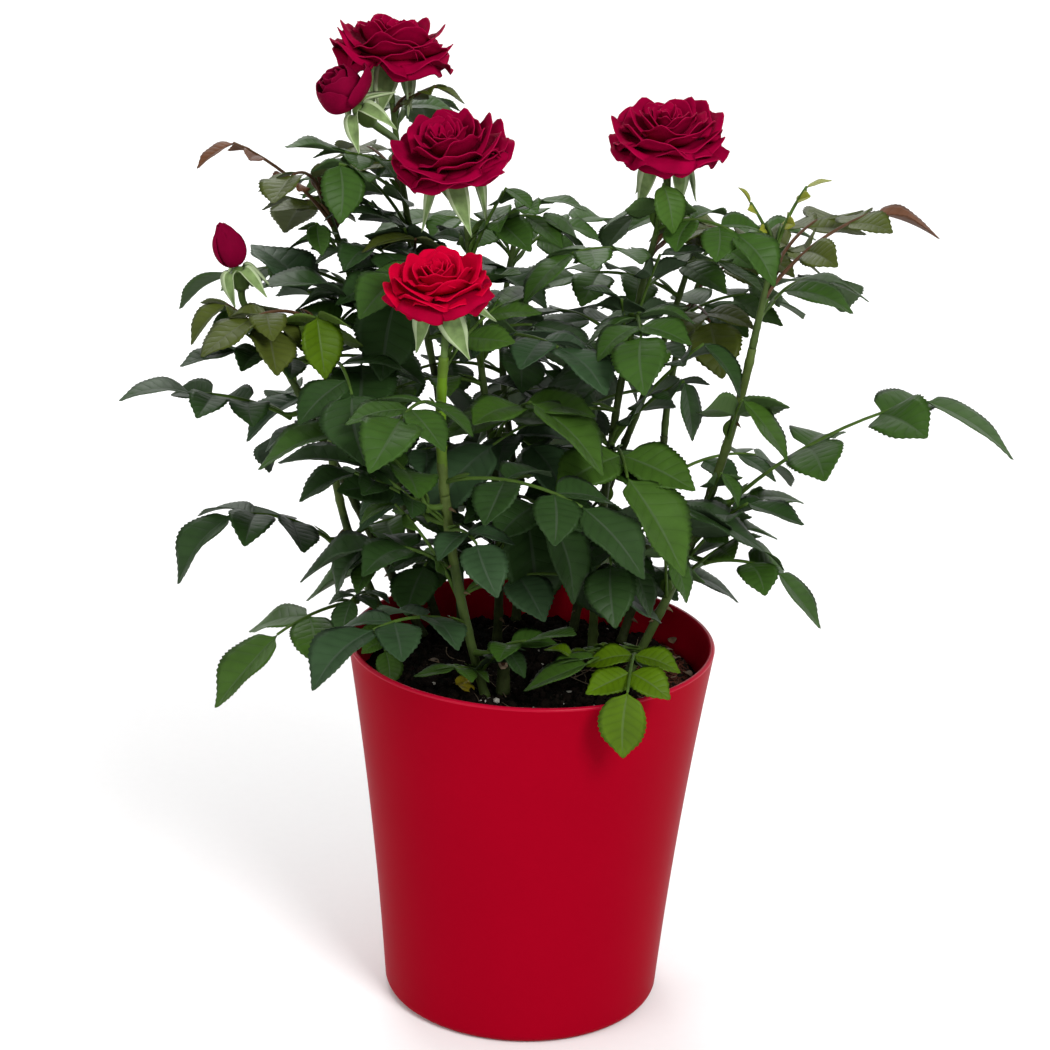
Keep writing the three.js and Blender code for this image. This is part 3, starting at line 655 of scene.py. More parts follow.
def make_soil():
    rng = np.random.default_rng(SEED)
    noise = [
        (height, *rng.uniform(-fine, fine, 2), rng.uniform(0, 6))
        for count, height, fine in WAVES
        for _ in range(count)
    ]
    wall = inner_radius(SOIL["edge"]) - GAP
    turn = circle(140)
    surface = round_z(np.linspace(wall, 0.8, 60)[:, None], 0.0, turn)
    x, y = surface[..., 0], surface[..., 1]
    surface[..., 2] = soil_height(x, y, noise) + rng.normal(0, 0.25, x.shape)
    depth = np.array([POT["floor"] + GAP, *np.linspace(20, 118, 8)])[:, None]
    rows = np.concatenate([round_z(inner_radius(depth) - GAP, depth, turn), surface])
    ends = [[0, 0, depth[0, 0]], [0, 0, rows[-1, :, 2].mean()]]
    points, uv, *faces = closed(rows, ends)
    pile = Pile()
    pile.add(points, 0 * uv, *[(part, "compost") for part in faces])

    def scattered(count, low, high):
        radius = (wall - 2) * np.sqrt(rng.uniform(0, 1, count))
        angle = rng.uniform(0, 2 * math.pi, count)
        x, y = radius * np.cos(angle), radius * np.sin(angle)
        sizes = mix(low, high, rng.uniform(0, 1, count) ** 3)
        return np.stack([x, y, soil_height(x, y, noise) + sizes * 0.2], -1), sizes

    lumps(pile, *scattered(*CRUMBS), rng, "crumb")
    pile.piece("compost", "soil", slot="compost")

    grains = Pile()
    lumps(grains, *scattered(*PERLITE), rng, "perlite")
    count = COLLAR["grains"]
    collar = np.array([*COLLAR["place"], SOIL["top"] + 0.6])
    collar = collar + rng.normal(0, 1.1, (count, 3)) * (1, 1, 0.5)
    lumps(grains, collar, rng.uniform(0.5, 1.2, count), rng, "perlite")
    grains.piece("perlite", slot="compost")

    roots = Pile()

    def rootlet(x, y, kind, name):
        """A thin dry root that wanders over the compost."""
        radius = rng.uniform(*kind["radius"])
        heading = rng.uniform(0, 2 * math.pi)
        inside = min(1, (wall - 3) / math.hypot(x, y))
        x, y = x * inside, y * inside
        points = []
        for _ in range(4):
            z = soil_height(x, y, noise) + radius + rng.uniform(0.2, 2.2)
            points.append((x, y, z))
            heading += rng.normal(0, 0.7)
            x += kind["step"] * math.cos(heading)
            y += kind["step"] * math.sin(heading)
            reach = math.hypot(x, y)
            x, y = (v * min(1, (wall - 2.5) / reach) for v in (x, y))
        radii = np.linspace(radius, radius * 0.5, 9)
        tube(roots, Bezier(*points), np.linspace(0, 1, 9), radii, 5, name)

    for _ in range(MAT["roots"]):
        rootlet(rng.normal(*MAT["x"]), rng.normal(*MAT["y"]), MAT, "root_brown")
    for _ in range(LOOSE["roots"]):
        reach = LOOSE["reach"] * math.sqrt(rng.uniform())
        angle = rng.uniform(0, 2 * math.pi)
        rootlet(reach * math.cos(angle), reach * math.sin(angle), LOOSE, "root_pale")
    roots.piece("rootlets", slot="compost")


# ---- Limbs ----

CANE_CURVES = {}
SHOOT_CURVES = {}
for name, (foot, tip, bow) in CANES.items():
    start, end = np.array([*foot, SOIL["top"] + GAP], float), np.array(tip, float)
    CANE_CURVES[name] = Bezier(start, mix(start, end, 0.5) + 2 * np.array([*bow, 0]), end)
    onward = CANE_CURVES[name].tangent(1)
    start = end + onward * GAP
    end = np.array(SHOOTS[name][0], float)
    SHOOT_CURVES[name] = Bezier(start, start + onward * np.linalg.norm(end - start) / 2, end)
LIMBS = {"cane": CANE_CURVES, "shoot": SHOOT_CURVES}


def cane_radius(s):
    return mix(CANE["foot"], CANE["tip"], s)


# A grown cane is slimmer than its solid: its girth at the foot and tip, as a share of the solid's.
GIRTH = dict(front=(0.72, 1.2), right=(0.75, 1.0))
USUAL_GIRTH = (0.78, 0.9)


def bark_radius(name, s):
    return cane_radius(s) * mix(*GIRTH.get(name, USUAL_GIRTH), s)


# Leaf scars along a cane, in mm: where its first may be, and the step to the next. Prickles: their
# step and how far each strays from it, what they leave clear at the cane's ends, and their length.
SCARS = dict(first=(8, 16), step=17)
PRICKLES = dict(step=11, stray=3, foot=9, tip=5, length=(1.6, 3))
CANE_SIDES = 20

CANE_FINISH = {
    "front": ("cane_green", "cane_green", "cane_fresh"),
    "right": ("cane_green", "cane_fresh"),
    "left": ("cane_green", "cane_fresh"),
    "middle": "cane_green",
}


def prickle(pile, root, out, along, length):
    """A small curved thorn that points out and a little down."""
    tip = root + out * length - along * length * 0.35
    curve = Bezier(root - out * 0.4, root + out * length * 0.5, tip)
    radii = np.array([0.85, 0.5, 0.22, 0.05]) * length / 2.4
    tube(pile, curve, (0, 0.4, 0.75, 1), radii, 6, "prickle")


def bump_at(shares, node, length, width):
    """A smooth rise of 1 at a node, some mm wide."""
    return np.exp(-(((shares - node) * length / width) ** 2))


def make_canes():
    rng = np.random.default_rng(SEED + 1)
    pile, thorns = Pile(), Pile()
    turn = circle(CANE_SIDES)
    for name, curve in CANE_CURVES.items():
        length = curve.length()
        shares = np.linspace(0, 1, int(length / 1.6))
        scars = np.arange(rng.uniform(*SCARS["first"]), length, SCARS["step"]) / length
        radii = bark_radius(name, shares)
        radii = radii * (1 + (CANE["flare"] - 1) * np.exp(-shares * length / 3))
        for scar in scars:
            radii = radii * (1 + 0.13 * bump_at(shares, scar, length, 1.3))
        relief = sum(
            rng.uniform(0.008, 0.02) * np.cos(k * turn + rng.uniform(0, 6)) for k in (2, 3, 5, 7)
        )
        relief = relief + rng.normal(0, 0.012, (len(shares), CANE_SIDES))
        for k, scar in enumerate(scars):
            facing = np.clip(np.cos(turn - math.radians(PHYLLOTAXIS * k)), 0, 1) ** 2
            relief = relief + 0.22 * bump_at(shares, scar, length, 0.8)[:, None] * facing
        tube(pile, curve, shares, radii, CANE_SIDES, CANE_FINISH.get(name, "cane_old"), relief)
        for s in np.arange(PRICKLES["foot"], length - PRICKLES["tip"], PRICKLES["step"]) / length:
            share = s + rng.uniform(-1, 1) * PRICKLES["stray"] / length
            tangent = curve.tangent(share)
            out = square_to(direction(rng.uniform(0, 360), 0), tangent)
            root = curve.at(share) + out * bark_radius(name, share)
            prickle(thorns, root, out, tangent, rng.uniform(*PRICKLES["length"]))
    pile.piece("canes", *[f"cane_{name}" for name in CANES], slot="cane")
    thorns.piece("prickles", slot="cane")

    stub = Pile()
    foot = np.array([*STUB["foot"], SOIL["top"] + GAP], float)
    shares = np.linspace(0, 1, 16)
    relief = rng.normal(0, 0.03, (16, CANE_SIDES)) + 0.08 * np.cos(3 * turn)
    radii = STUB["radius"] * (1 - 0.2 * shares)
    core = Bezier(foot, foot + UP * STUB["height"])
    tube(stub, core, shares, radii, CANE_SIDES, "cane_old", relief, tip=False)
    for height, radius, name in ((0.15, 0.86, "cut_wood"), (0.3, 0.4, "cut_pith")):
        top = foot + UP * (STUB["height"] + height)
        cap = np.full(2, radii[-1] * radius)
        tube(stub, Bezier(top - UP * 0.6, top), (0, 1), cap, CANE_SIDES, name, tip=False)
    # The cut slants towards the front, so its pale face shows.
    for points in stub.points:
        height = (points[:, 2] - foot[2]) / STUB["height"]
        points[:, 2] += np.clip(height, 0, 1) ** 6 * (points[:, 1] - foot[1] - radii[-1]) * 1.1
    stub.piece("cut_stub", "stub", slot="cane")


# ---- Leaves ----


def blade_frame(at, bearing, elevation, twist):
    ahead = direction(bearing, elevation)
    side = rotated(direction(bearing + 90, 0), ahead, twist)
    return at, ahead, side, np.cross(ahead, side)


def leaf_tip(blade, size):
    at, ahead, _, up = blade
    return at + ahead * size - up * LEAFLET["curl"] * size


LEAF_FIELDS = "start bearing rise sag length size hang veer twist"


class Leaf(namedtuple("Leaf", LEAF_FIELDS, defaults=(0,))):
    """A compound leaf: where its stalk starts, how that leaves, sags evenly and reaches, its end
    leaflet's length, how far that hangs and veers from the stalk's end, and the leaf's twist."""

    def elevation(self, s):
        return self.rise - self.sag * s

    def tangent(self, s):
        return direction(self.bearing, self.elevation(s))

    def at(self, s):
        bend = self.length / math.radians(self.sag)
        now, first = math.radians(self.elevation(s)), math.radians(self.rise)
        flat = bend * (math.sin(first) - math.sin(now))
        drop = math.cos(now) - math.cos(first)
        return self.start + direction(self.bearing, 0) * flat + UP * bend * drop

    def frame(self, s):
        return blade_frame(self.at(s), self.bearing, self.elevation(s), self.twist)

    def side_frame(self, pair, share, hand):
        at, ahead, _, up = self.frame(share)
        out = rotated(ahead, up, hand * LATERAL["swing"][pair])
        way = unit(out - up * LATERAL["droop"])
        top = unit(up + out * LATERAL["droop"])
        return at, way, np.cross(top, way), top

    def blades(self):
        """The leaf, and the frames and sizes of its end leaflet and of its side leaflets."""
        elevation = self.elevation(1) - self.hang
        end = blade_frame(self.at(1), self.bearing + self.veer, elevation, self.twist)
        pairs = PAIRS[2 if self.length > ROOM * self.size else 1]
        sides = [
            (self.side_frame(pair, share, hand), self.size * LATERAL["size"])
            for pair, share in enumerate(pairs)
            for hand in (1, -1)
        ]
        return self, (end, self.size), sides

    def turns(self):
        """The leaf's blades as each small turn of its bearing puts them."""
        for turn in TURNS:
            yield self._replace(bearing=self.bearing + turn).blades()


def aged(age):
    """Rise, sag, length and size of a leaf, from 0 for the oldest to 1 for the youngest."""
    return [mix(OLD[key], YOUNG[key], age) for key in ("rise", "sag", "length", "size")]


def shoot_leaves(name, seed):
    random = seeded(seed)

    def spread(key):
        return (next(random) * 2 - 1) * SPREAD[key]

    _, count, first = SHOOTS[name]
    for i in range(count):
        age = i / (count - 1)
        rise, sag, length, size = aged(age)
        yield Leaf(
            SHOOT_CURVES[name].at(mix(*CLIMB, age)),
            first + PHYLLOTAXIS * i + spread("bearing"),
            rise + spread("rise"),
            sag + spread("sag"),
            length * (1 + spread("length")),
            size * (1 + spread("size")),
            HANG + spread("hang"),
            0,
            spread("twist"),
        ), TINTS[name][min(3, int(age * 4))]


def as_packed(leaf, corners):
    """The leaf turned as its solid is: its end leaflet's tip is a corner of that solid. None if the
    solid has no such leaf."""

    def held(blade, size):
        return np.abs(corners - leaf_tip(blade, size)).max(axis=1).min() < 0.05

    for turned, end, sides in leaf.turns():
        if held(*end):
            return turned, end, [side for side in sides if held(*side)]
    return None


# A grown leaflet's width and the depth of its teeth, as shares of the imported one's width and of its
# own, and the points across it, in half widths.
FULLNESS = 1.14
TEETH = 0.03
COLUMNS = np.array([-1, -0.74, -0.4, -0.05, 0, 0.05, 0.4, 0.74, 1])


def leaflet(pile, blade, size, tint, rng):
    """A toothed, folded blade with a raised midrib and sunken side veins."""
    at, ahead, side, up = blade
    teeth = int(np.clip(size * 0.58, 9, 21))
    rows = 2 * teeth + 3
    s = np.linspace(0, 1, rows)
    outline = np.sin(math.pi * s**0.84) ** 0.72 * (1 - 0.42 * smooth(0.68, 1, s))
    outline = outline * smooth(0.015, 0.12, s) + 0.02
    half = LEAFLET["width"] * FULLNESS * rng.uniform(0.93, 1.07) * size / 2 * outline
    across = COLUMNS[None, :] * half[:, None]
    along = np.repeat(s[:, None], len(COLUMNS), axis=1)
    margin = np.abs(COLUMNS) > 0.99
    tooth = np.where(np.arange(rows) % 2 == 1, 1.0, -1.0)
    tooth = tooth * smooth(0.1, 0.2, s) * (1 - smooth(0.93, 1, s))
    across[:, margin] *= (1 + TEETH * tooth)[:, None]
    along[:, margin] += (0.45 / rows * np.clip(tooth, 0, 1))[:, None]
    flat = np.abs(COLUMNS)[None, :]
    fold = LEAFLET["fold"] + rng.uniform(-0.14, 0.14)
    quilt = np.cos(2 * math.pi * (7 * (along - 0.85 * np.abs(across) / size)))
    puff = 0.004 * size * quilt * 4 * flat * (1 - flat) * smooth(0.05, 0.2, s)[:, None]
    wave = 0.035 * size * rng.uniform(0.3, 1)
    wave = wave * np.sin(2 * math.pi * (1.4 * along + rng.uniform(0, 1))) * flat**2
    curl = -LEAFLET["curl"] * size * along**2
    bow = rng.uniform(0.0, 0.09) * size * np.sin(math.pi * along)
    rib = 0.25 * np.exp(-((flat / 0.05) ** 2)) * (1 - s)[:, None]
    lift = fold * np.abs(across) * np.sin(math.pi * np.clip(along, 0, 1)) ** 0.5
    lift = lift + puff + wave * outline[:, None]
    bend = rng.uniform(-0.05, 0.05) * size * np.sin(math.pi * along)
    # A blade at the edge of the plant's box is flattened until it is inside.
    for share in (1, 0.5, 0):
        rise = share * (lift + bow) + curl - rib
        grid = (
            at
            + (along * size * 0.99)[..., None] * ahead
            + (across + bend)[..., None] * side
            + rise[..., None] * up
        )
        if in_box(grid):
            break
    strips = [(slice(0, rows - 4), slice(3, 5), "vein_" + tint)]
    sheet(pile, grid, mix(0.25, 0.4, size / 40), "leaf_" + tint, "under_" + tint, strips)


STIPULE = dict(foot=0.02, length=8.5, width=2.4, lean=1.5)


def petiole(pile, leaf, finish_name):
    """A leaf's stalk, thick at its foot, with two thin stipules along it there."""
    shares = np.linspace(0, 1, 12)
    radii = mix(RACHIS["foot"], RACHIS["tip"], shares) * 0.85 * (1 + 0.5 * np.exp(-shares * 14))
    tube(pile, leaf, shares, radii, 7, finish_name)
    at, ahead, side, up = leaf.frame(STIPULE["foot"])
    s = np.linspace(0, 1, 7)[:, None]
    v = np.linspace(0, 1, 4)[None, :]
    reach = STIPULE["width"] * np.sin(math.pi * np.clip(s, 0.02, 0.98)) ** 0.6 * v + 0.3
    inner = at + ahead * 0.5 + (s * STIPULE["length"] + v * STIPULE["lean"])[..., None] * ahead
    for hand in (1, -1):
        points = inner + (hand * reach)[..., None] * side + (0.25 * reach + 0.4)[..., None] * up
        sheet(pile, points[:, ::hand], 0.25, finish_name)


# The way to the light, for side leaflets that roll towards it.
LIGHT = np.array([0.0, -1.0, 0.6])


def faced(blade, size):
    """A side leaflet rolled towards the light, its foot and tip where they were."""
    at, ahead, _, up = blade
    up = unit(up + 0.8 * square_to(LIGHT, ahead))
    return (at, ahead, np.cross(up, ahead), up), size


def coarse(blade, size):
    """A leaflet as two flat faces, for keeping leaves apart."""
    at, ahead, side, up = blade
    half = LEAFLET["width"] * FULLNESS * size / 2
    points = []
    for s, v in ((0.06, 0), (0.25, 0.8), (0.6, 0.88), (1, 0), (0.6, -0.88), (0.25, -0.8)):
        lift = LEAFLET["fold"] * abs(v) * half - LEAFLET["curl"] * size * s * s
        points.append(at + ahead * s * size + side * v * half + up * lift)
    return np.array(points), [(0, 1, 2, 3), (0, 3, 4, 5)]


class Crowd:
    """What is already placed, as coarse trees that a new blade can be tested against."""

    def __init__(self):
        self.trees, self.low, self.high = [], [], []

    def clear(self, points, faces):
        low, high = points.min(0), points.max(0)
        near = np.all((np.array(self.low) <= high) & (np.array(self.high) >= low), axis=1)
        tree = BVHTree.FromPolygons(points.tolist(), faces)
        return not any(self.trees[k].overlap(tree) for k in np.flatnonzero(near))

    def add(self, points, faces):
        self.trees.append(BVHTree.FromPolygons(points.tolist(), faces))
        self.low.append(points.min(0))
        self.high.append(points.max(0))


# Leaves that fill the crown between those of the solids: how many on each cane and its shoot,
# and the shares between which they stand.
FILL = {
    "front": (5, 0),
    "left": (2, 0),
    "bud": (1, 0),
    "centre": (7, 3),
    "top": (4, 2),
    "tall": (3, 2),
    "middle": (7, 2),
    "right": (0, 0),
    "behind": (3, 1),
    "rear": (4, 2),
    "flank": (1, 0),
}
FILL_SHARES = dict(cane=(0.24, 1.0), shoot=(0.04, 0.96))
FILL_TINTS = dict(cane=("dark", "blue", "mid"), shoot=("dark", "mid", "mid", "fresh", "olive"))

# Leaves of the shoots' rule that are left out where the crown is open, by number on each shoot.
OPEN = {
    "right": (0,),
    "flank": (0, 2),
    "middle": (1,),
    "behind": (0,),
    "left": (0,),
    "top": (5,),
    "bud": (2,),
    "centre": (1,),
}

# Openings that the filling leaves keep clear, as the front shows them: from and to in x, and in the
# height at which a line of sight meets the plane y = 0. It falls towards the back by SIGHT.
SIGHT = 0.34
SKY = (
    (42, 65, 201, 244),
    (-142, -121, 233, 268),
    (-128, -98, 190, 225),
    (-98, -75, 191, 201),
    (75, 105, 241, 265),
    (75, 113, 200, 209),
    (-14, 18, 311, 351),
    (91, 163, 244, 263),
    (-61, -38, 236, 252),
)

# Single leaves that close gaps: cane, limb, then values as for the sprays, and tint.
MORE_LEAVES = (
    ("top", "shoot", (0.12, 236, 28, 12, 50, 34, -10, -68), "blue"),
    ("centre", "shoot", (0.9, 343, 40, 14, 31, 17, 31, 10), "mid"),
    ("centre", "shoot", (0.8, 343, 70, 14, 32, 13, 78, -2), "mid"),
    ("top", "shoot", (0.3, 261, 53, 14, 39, 23, 17, -65), "dark"),
    ("top", "shoot", (0.5, 260, 43, 14, 26, 19, 49, -60), "dark"),
    ("top", "shoot", (0.4, 273, 35, 14, 32, 20, 27, -75), "olive"),
    ("top", "shoot", (0.6, 248, 34, 20, 21, 15, 69, -23), "dark"),
    ("tall", "shoot", (0.5, 275, 55, 20, 33, 13, 79, 46), "mid"),
    ("tall", "shoot", (0.8, 242, 77, 20, 21, 23, 90, -36), "mid"),
    ("bud", "shoot", (0.6, 214, 54, 20, 25, 19, 75, -9), "olive"),
    ("bud", "shoot", (0.45, 229, 57, 20, 28, 13, 98, 22), "mid"),
    ("middle", "shoot", (0.35, 259, 62, 14, 30, 15, 25, -63), "dark"),
    ("middle", "shoot", (0.3, 294, 77, 14, 47, 18, 52, 53), "dark"),
    ("centre", "shoot", (0.3, 285, 64, 14, 43, 19, 22, 53), "mid"),
    ("middle", "cane", (0.95, 324, 60, 20, 58, 23, 85, 15), "dark"),
    ("middle", "cane", (0.94, 292, 60, 30, 43, 22, 102, 6), "dark"),
    ("middle", "cane", (0.3, 288, 42, 20, 44, 21, 81, 38), "dark"),
    ("centre", "cane", (0.4, 300, 51, 30, 51, 37, 92, 21), "dark"),
    ("left", "cane", (0.36, 282, 33, 20, 31, 21, 64, -75), "dark"),
    ("right", "cane", (0.4, 321, 52, 14, 29, 23, 42, 29), "mid"),
    ("right", "cane", (0.42, 304, 71, 14, 34, 14, 109, 28), "mid"),
    ("right", "cane", (0.31, 259, 70, 20, 40, 37, 69, 94), "dark"),
    ("right", "cane", (0.24, 263, 59, 20, 37, 21, 95, 66), "mid"),
    ("right", "cane", (0.06, 262, 26, 20, 50, 25, 26, -62), "fresh"),
    ("right", "cane", (0.08, 247, 22, 20, 42, 11, -9, -67), "lime"),
    ("front", "cane", (0.1, 304, 56, 20, 23, 13, 75, 20), "dark"),
    ("front", "cane", (0.12, 242, 33, 20, 19, 15, 21, -62), "fresh"),
    ("top", "shoot", (0.75, 225, 28, 16, 28, 22, 0, -29), "mid"),
    ("top", "shoot", (0.35, 222, 32, 20, 36, 16, 25, -20), "mid"),
    ("front", "cane", (0.85, 189, 43, 20, 42, 22, 39, 2), "dark"),
    ("front", "cane", (0.4, 197, 71, 24, 51, 14, 69, 1), "fresh"),
    ("left", "cane", (0.3, 267, 38, 30, 30, 14, 49, -46), "mid"),
    ("left", "cane", (0.18, 259, 33, 30, 34, 15, 58, -13), "dark"),
    ("right", "cane", (0.3, 303, 66, 20, 29, 25, 58, 47), "mid"),
    ("right", "cane", (0.26, 303, 56, 20, 35, 24, 64, 40), "fresh"),
    ("right", "cane", (0.72, 285, 67, 20, 24, 27, 89, 52), "fresh"),
    ("right", "cane", (0.36, 243, 30, 24, 23, 18, 41, -39), "dark"),
    ("middle", "shoot", (0.88, 308, 74, 30, 24, 18, 104, 26), "fresh"),
    ("middle", "cane", (0.92, 285, 20, 24, 38, 29, 20, 67), "mid"),
    ("right", "shoot", (0.98, 155, 66, 12, 19, 7, 0, 0), "yellow"),
    ("top", "shoot", (0.97, 319, 42, 20, 20, 12, 45, 20), "olive"),
)

# Dead leaflets on the compost: place, bearing, length and tint.
LITTER = (
    (-27, -19, 40, 8, "dead"),
    (-20, -24, 150, 7, "dead"),
    (-24, -16, 280, 6, "dead"),
    (20, 8, 170, 8, "lime"),
    (54, 30, 100, 5, "dry"),
    (50, 22, 20, 4, "dry"),
    (56, 14, 220, 5, "dry"),
    (44, 30, 80, 4, "dry"),
    (57, 2, 300, 5, "dry"),
    (-14, 12, 80, 5, "dry"),
    (30, 24, 200, 6, "dry"),
    (-38, 4, 330, 5, "dry"),
)


def fill_leaves(name, rng):
    """More leaves by the shoots' own rule, along the cane and its shoot."""
    for count, (limb, curves) in zip(FILL[name], LIMBS.items()):
        curve = curves[name]
        first = rng.uniform(0, 360)
        for i in range(count):
            share = mix(*FILL_SHARES[limb], (i + rng.uniform(0.2, 0.8)) / count)
            rise, sag, length, size = aged(share if limb == "shoot" else 0.0)
            leaf = Leaf(
                curve.at(share),
                first + PHYLLOTAXIS * i + rng.uniform(-1, 1) * SPREAD["bearing"],
                rise + rng.uniform(0, 2) * SPREAD["rise"],
                sag + rng.uniform(-1, 1) * SPREAD["sag"],
                length * rng.uniform(0.45, 0.95),
                size * rng.uniform(0.62, 0.95),
                HANG + rng.uniform(-1, 1) * SPREAD["hang"],
                0,
                rng.uniform(-1, 1) * SPREAD["twist"],
            )
            yield leaf, FILL_TINTS[limb][rng.integers(len(FILL_TINTS[limb]))]


def in_sky(blade, size):
    """Whether a leaflet's middle stands in one of the crown's openings."""
    x, y, z = blade[0] + blade[1] * size / 2
    height = z + y * SIGHT
    return any(left < x < right and low < height < high for left, right, low, high in SKY)


def fitted(leaf, crowd, filling=False):
    """The leaf turned to where its end leaflet and most of its side leaflets are clear. One that is
    only filling keeps out of the openings too."""

    def free(blade):
        points, faces = coarse(*blade)
        return in_box(points, 3) and not (filling and in_sky(*blade)) and crowd.clear(points, faces)

    best = None
    for turned, end, sides in leaf.turns():
        clear = [side for side in sides if free(side)] if free(end) else []
        if clear and (best is None or len(clear) > len(best[2])):
            best = turned, end, clear
    return best


# Tints whose leaves have red stalks, and sprays whose side leaflets lie level.
REDDISH = ("bronze", "olive", "blush")
LEVEL = ("left_droop", "left_low")

# The front shoot's radii and its finishes, from its foot up to its bloom.
FRONT_RADII = (1.85, 1.7)
FRONT_STEM = ("cane_fresh", "cane_fresh", "cane_light", *["cane_bright"] * 4, "cane_light")


def corners_of(node):
    return np.array([v.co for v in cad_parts[node].data.vertices]) / MM


def shoot_stem(pile, name, rng):
    """A shoot's own stem, with a swelling at each of its nodes."""
    shares = np.linspace(0, 1, 40)
    knots = 1 + 0.12 * np.exp(-((((shares * 7) % 1 - 0.5) / 0.12) ** 2))
    front = name == "front"
    ends = FRONT_RADII if front else (SHOOT["foot"], SHOOT["tip"])
    stem = FRONT_STEM if front else "cane_green"
    relief = rng.normal(0, 0.015, (40, 12))
    tube(pile, SHOOT_CURVES[name], shares, mix(*ends, shares) * knots, 12, stem, relief)


def make_leaves():
    """Every leaf of the frame's masses, finer, and the small leaves that fill between them."""
    rng = np.random.default_rng(SEED + 2)
    twigs = Pile()
    crowd = Crowd()
    nodes = {name: [f"shoot_{name}"] for name in CANES}
    grown = []
    for node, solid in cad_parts.items():
        if not node.startswith(("spray", "shoot", "soil")):
            crowd.add(corners_of(node), [tuple(face.vertices) for face in solid.data.polygons])

    def keep(cane, tint, found):
        if found:
            grown.append((cane, tint, *found))
            for blade in (found[1], *found[2]):
                crowd.add(*coarse(*blade))

    for name, (cane, values, tint) in SPRAYS.items():
        limb, node = CANE_CURVES[cane], "spray_" + name
        root = limb.at(values[0])
        out = square_to(direction(values[1], 0), limb.tangent(values[0]))
        foot = root + out * (cane_radius(values[0]) + GAP)
        start = foot + out * SPUR["length"] * SPUR["seat"]
        bent = foot + out * SPUR["length"] * 0.6
        spur = Bezier(root, bent, start + direction(*values[1:3]) * 3)
        radii = np.linspace(SPUR["foot"], SPUR["tip"], 9)
        tube(twigs, spur, np.linspace(0, 1, 9), radii, 10, "rachis_green")
        nodes[cane].append(node)
        leaf, end, sides = as_packed(Leaf(start, *values[1:]), corners_of(node))
        keep(cane, tint, (leaf, end, sides if name in LEVEL else [faced(*side) for side in sides]))
    for k, name in enumerate(CANES):
        solid = corners_of("shoot_" + name)
        for shoot, (share, *values), tint in SHOOT_LEAVES:
            if shoot == name:
                leaf = Leaf(SHOOT_CURVES[shoot].at(share), *values)
                keep(name, tint, as_packed(leaf, solid))
        for i, (leaf, tint) in enumerate(shoot_leaves(name, SEED * (k + 1))):
            if i not in OPEN.get(name, ()):
                keep(name, tint, as_packed(leaf, solid))
        shoot_stem(twigs, name, rng)
    for name, limb, (share, *values), tint in MORE_LEAVES:
        keep(name, tint, fitted(Leaf(LIMBS[limb][name].at(share), *values), crowd))
    for name in CANES:
        for leaf, tint in fill_leaves(name, rng):
            keep(name, tint, fitted(leaf, crowd, filling=True))

    litter = Pile()
    for x, y, bearing, size, tint in LITTER:
        at = np.array([x, y, SOIL["top"] + 1.6 + 0.9 * rng.uniform()])
        blade = blade_frame(at, bearing, rng.uniform(0, 14), rng.uniform(-25, 25))
        leaflet(litter, blade, size, tint, rng)
    litter.piece("litter", slot="leaf")

    piles = {name: Pile() for name in CANES}
    for cane, tint, leaf, end, sides in grown:
        petiole(twigs, leaf, "rachis_red" if tint in REDDISH else "rachis_green")
        end_tint, side_tint = ("bronze", "olive") if tint == "blush" else (tint, tint)
        leaflet(piles[cane], *end, end_tint, rng)
        for side in sides:
            leaflet(piles[cane], *side, side_tint, rng)
    twigs.piece("twigs", slot="leaf")
    for name, pile in piles.items():
        pile.piece("leaves_" + name, *nodes[name], slot="leaf")


# ---- Flowers ----


def flower_frame(hip, bearing, lean, lift=0):
    """A flower's base, lifted along its axis, with that axis and two directions square to it."""
    axis = direction(bearing, 90 - lean)
    across = direction(bearing + 90, 0)
    return np.array(hip, float) + axis * lift, axis, across, np.cross(axis, across)


def round_axis(flower, radius, height, turn):
    """Points by radius, height and turn (degrees) in a flower's frame."""
    at, axis, across, over = flower
    turn = np.radians(turn)
    grid = at + (radius * np.cos(turn))[..., None] * across
    return grid + (radius * np.sin(turn))[..., None] * over + height[..., None] * axis


def petal(pile, flower, radius, turn, half, profile, rng, name, ruffle, pointed=0.0):
    """A petal round the flower's axis: its profile is a curve of radius and height. Its sides roll
    back at the rim, which leaves a point in the middle."""
    rows, columns = 19, 17
    t = np.array([*np.linspace(0, 0.985, rows - 1), 1])[:, None]
    u = np.linspace(-1, 1, columns)[None, :]
    wide = np.abs(u)
    shoulder = 1 - 0.14 * wide**3 - pointed * wide**1.4 + 0.02 * np.cos(u * 9 + rng.uniform(0, 6))
    along = t * shoulder
    path = np.array([profile.at(x) for x in np.linspace(0, 1, 60)])
    r = np.interp(along, np.linspace(0, 1, 60), path[:, 0])
    h = np.interp(along, np.linspace(0, 1, 60), path[:, 1])
    spread = half * (0.8 + 0.2 * smooth(0, 0.5, t)) * (1 - 0.08 * smooth(0.75, 1, t))
    wave = ruffle * np.sin(u * math.pi * rng.uniform(0.9, 1.7) + rng.uniform(0, 6)) * t**2
    wave = wave + ruffle * 0.4 * np.sin(u * math.pi * 3.1 + rng.uniform(0, 6)) * t**4
    rolled = smooth(0.8, 1, t) * (0.035 + 0.5 * pointed * wide**1.5)
    r = r * (1 + 0.07 * u + 0.6 * wave) + rolled * 0.5
    h = h + wave - rolled + 0.05 * rng.uniform(-1, 1) * u * t
    grid = round_axis(flower, r * radius, h * radius, turn + spread * u)
    # The thin last row at the rim takes a lighter copy of the petal colour: a painted sheen where the
    # rolled edge catches the light.
    edge = [(slice(rows - 2, rows - 1), slice(0, columns), name + "_rim")]
    sheet(pile, grid[:, ::-1], 0.4, name, name, edge)


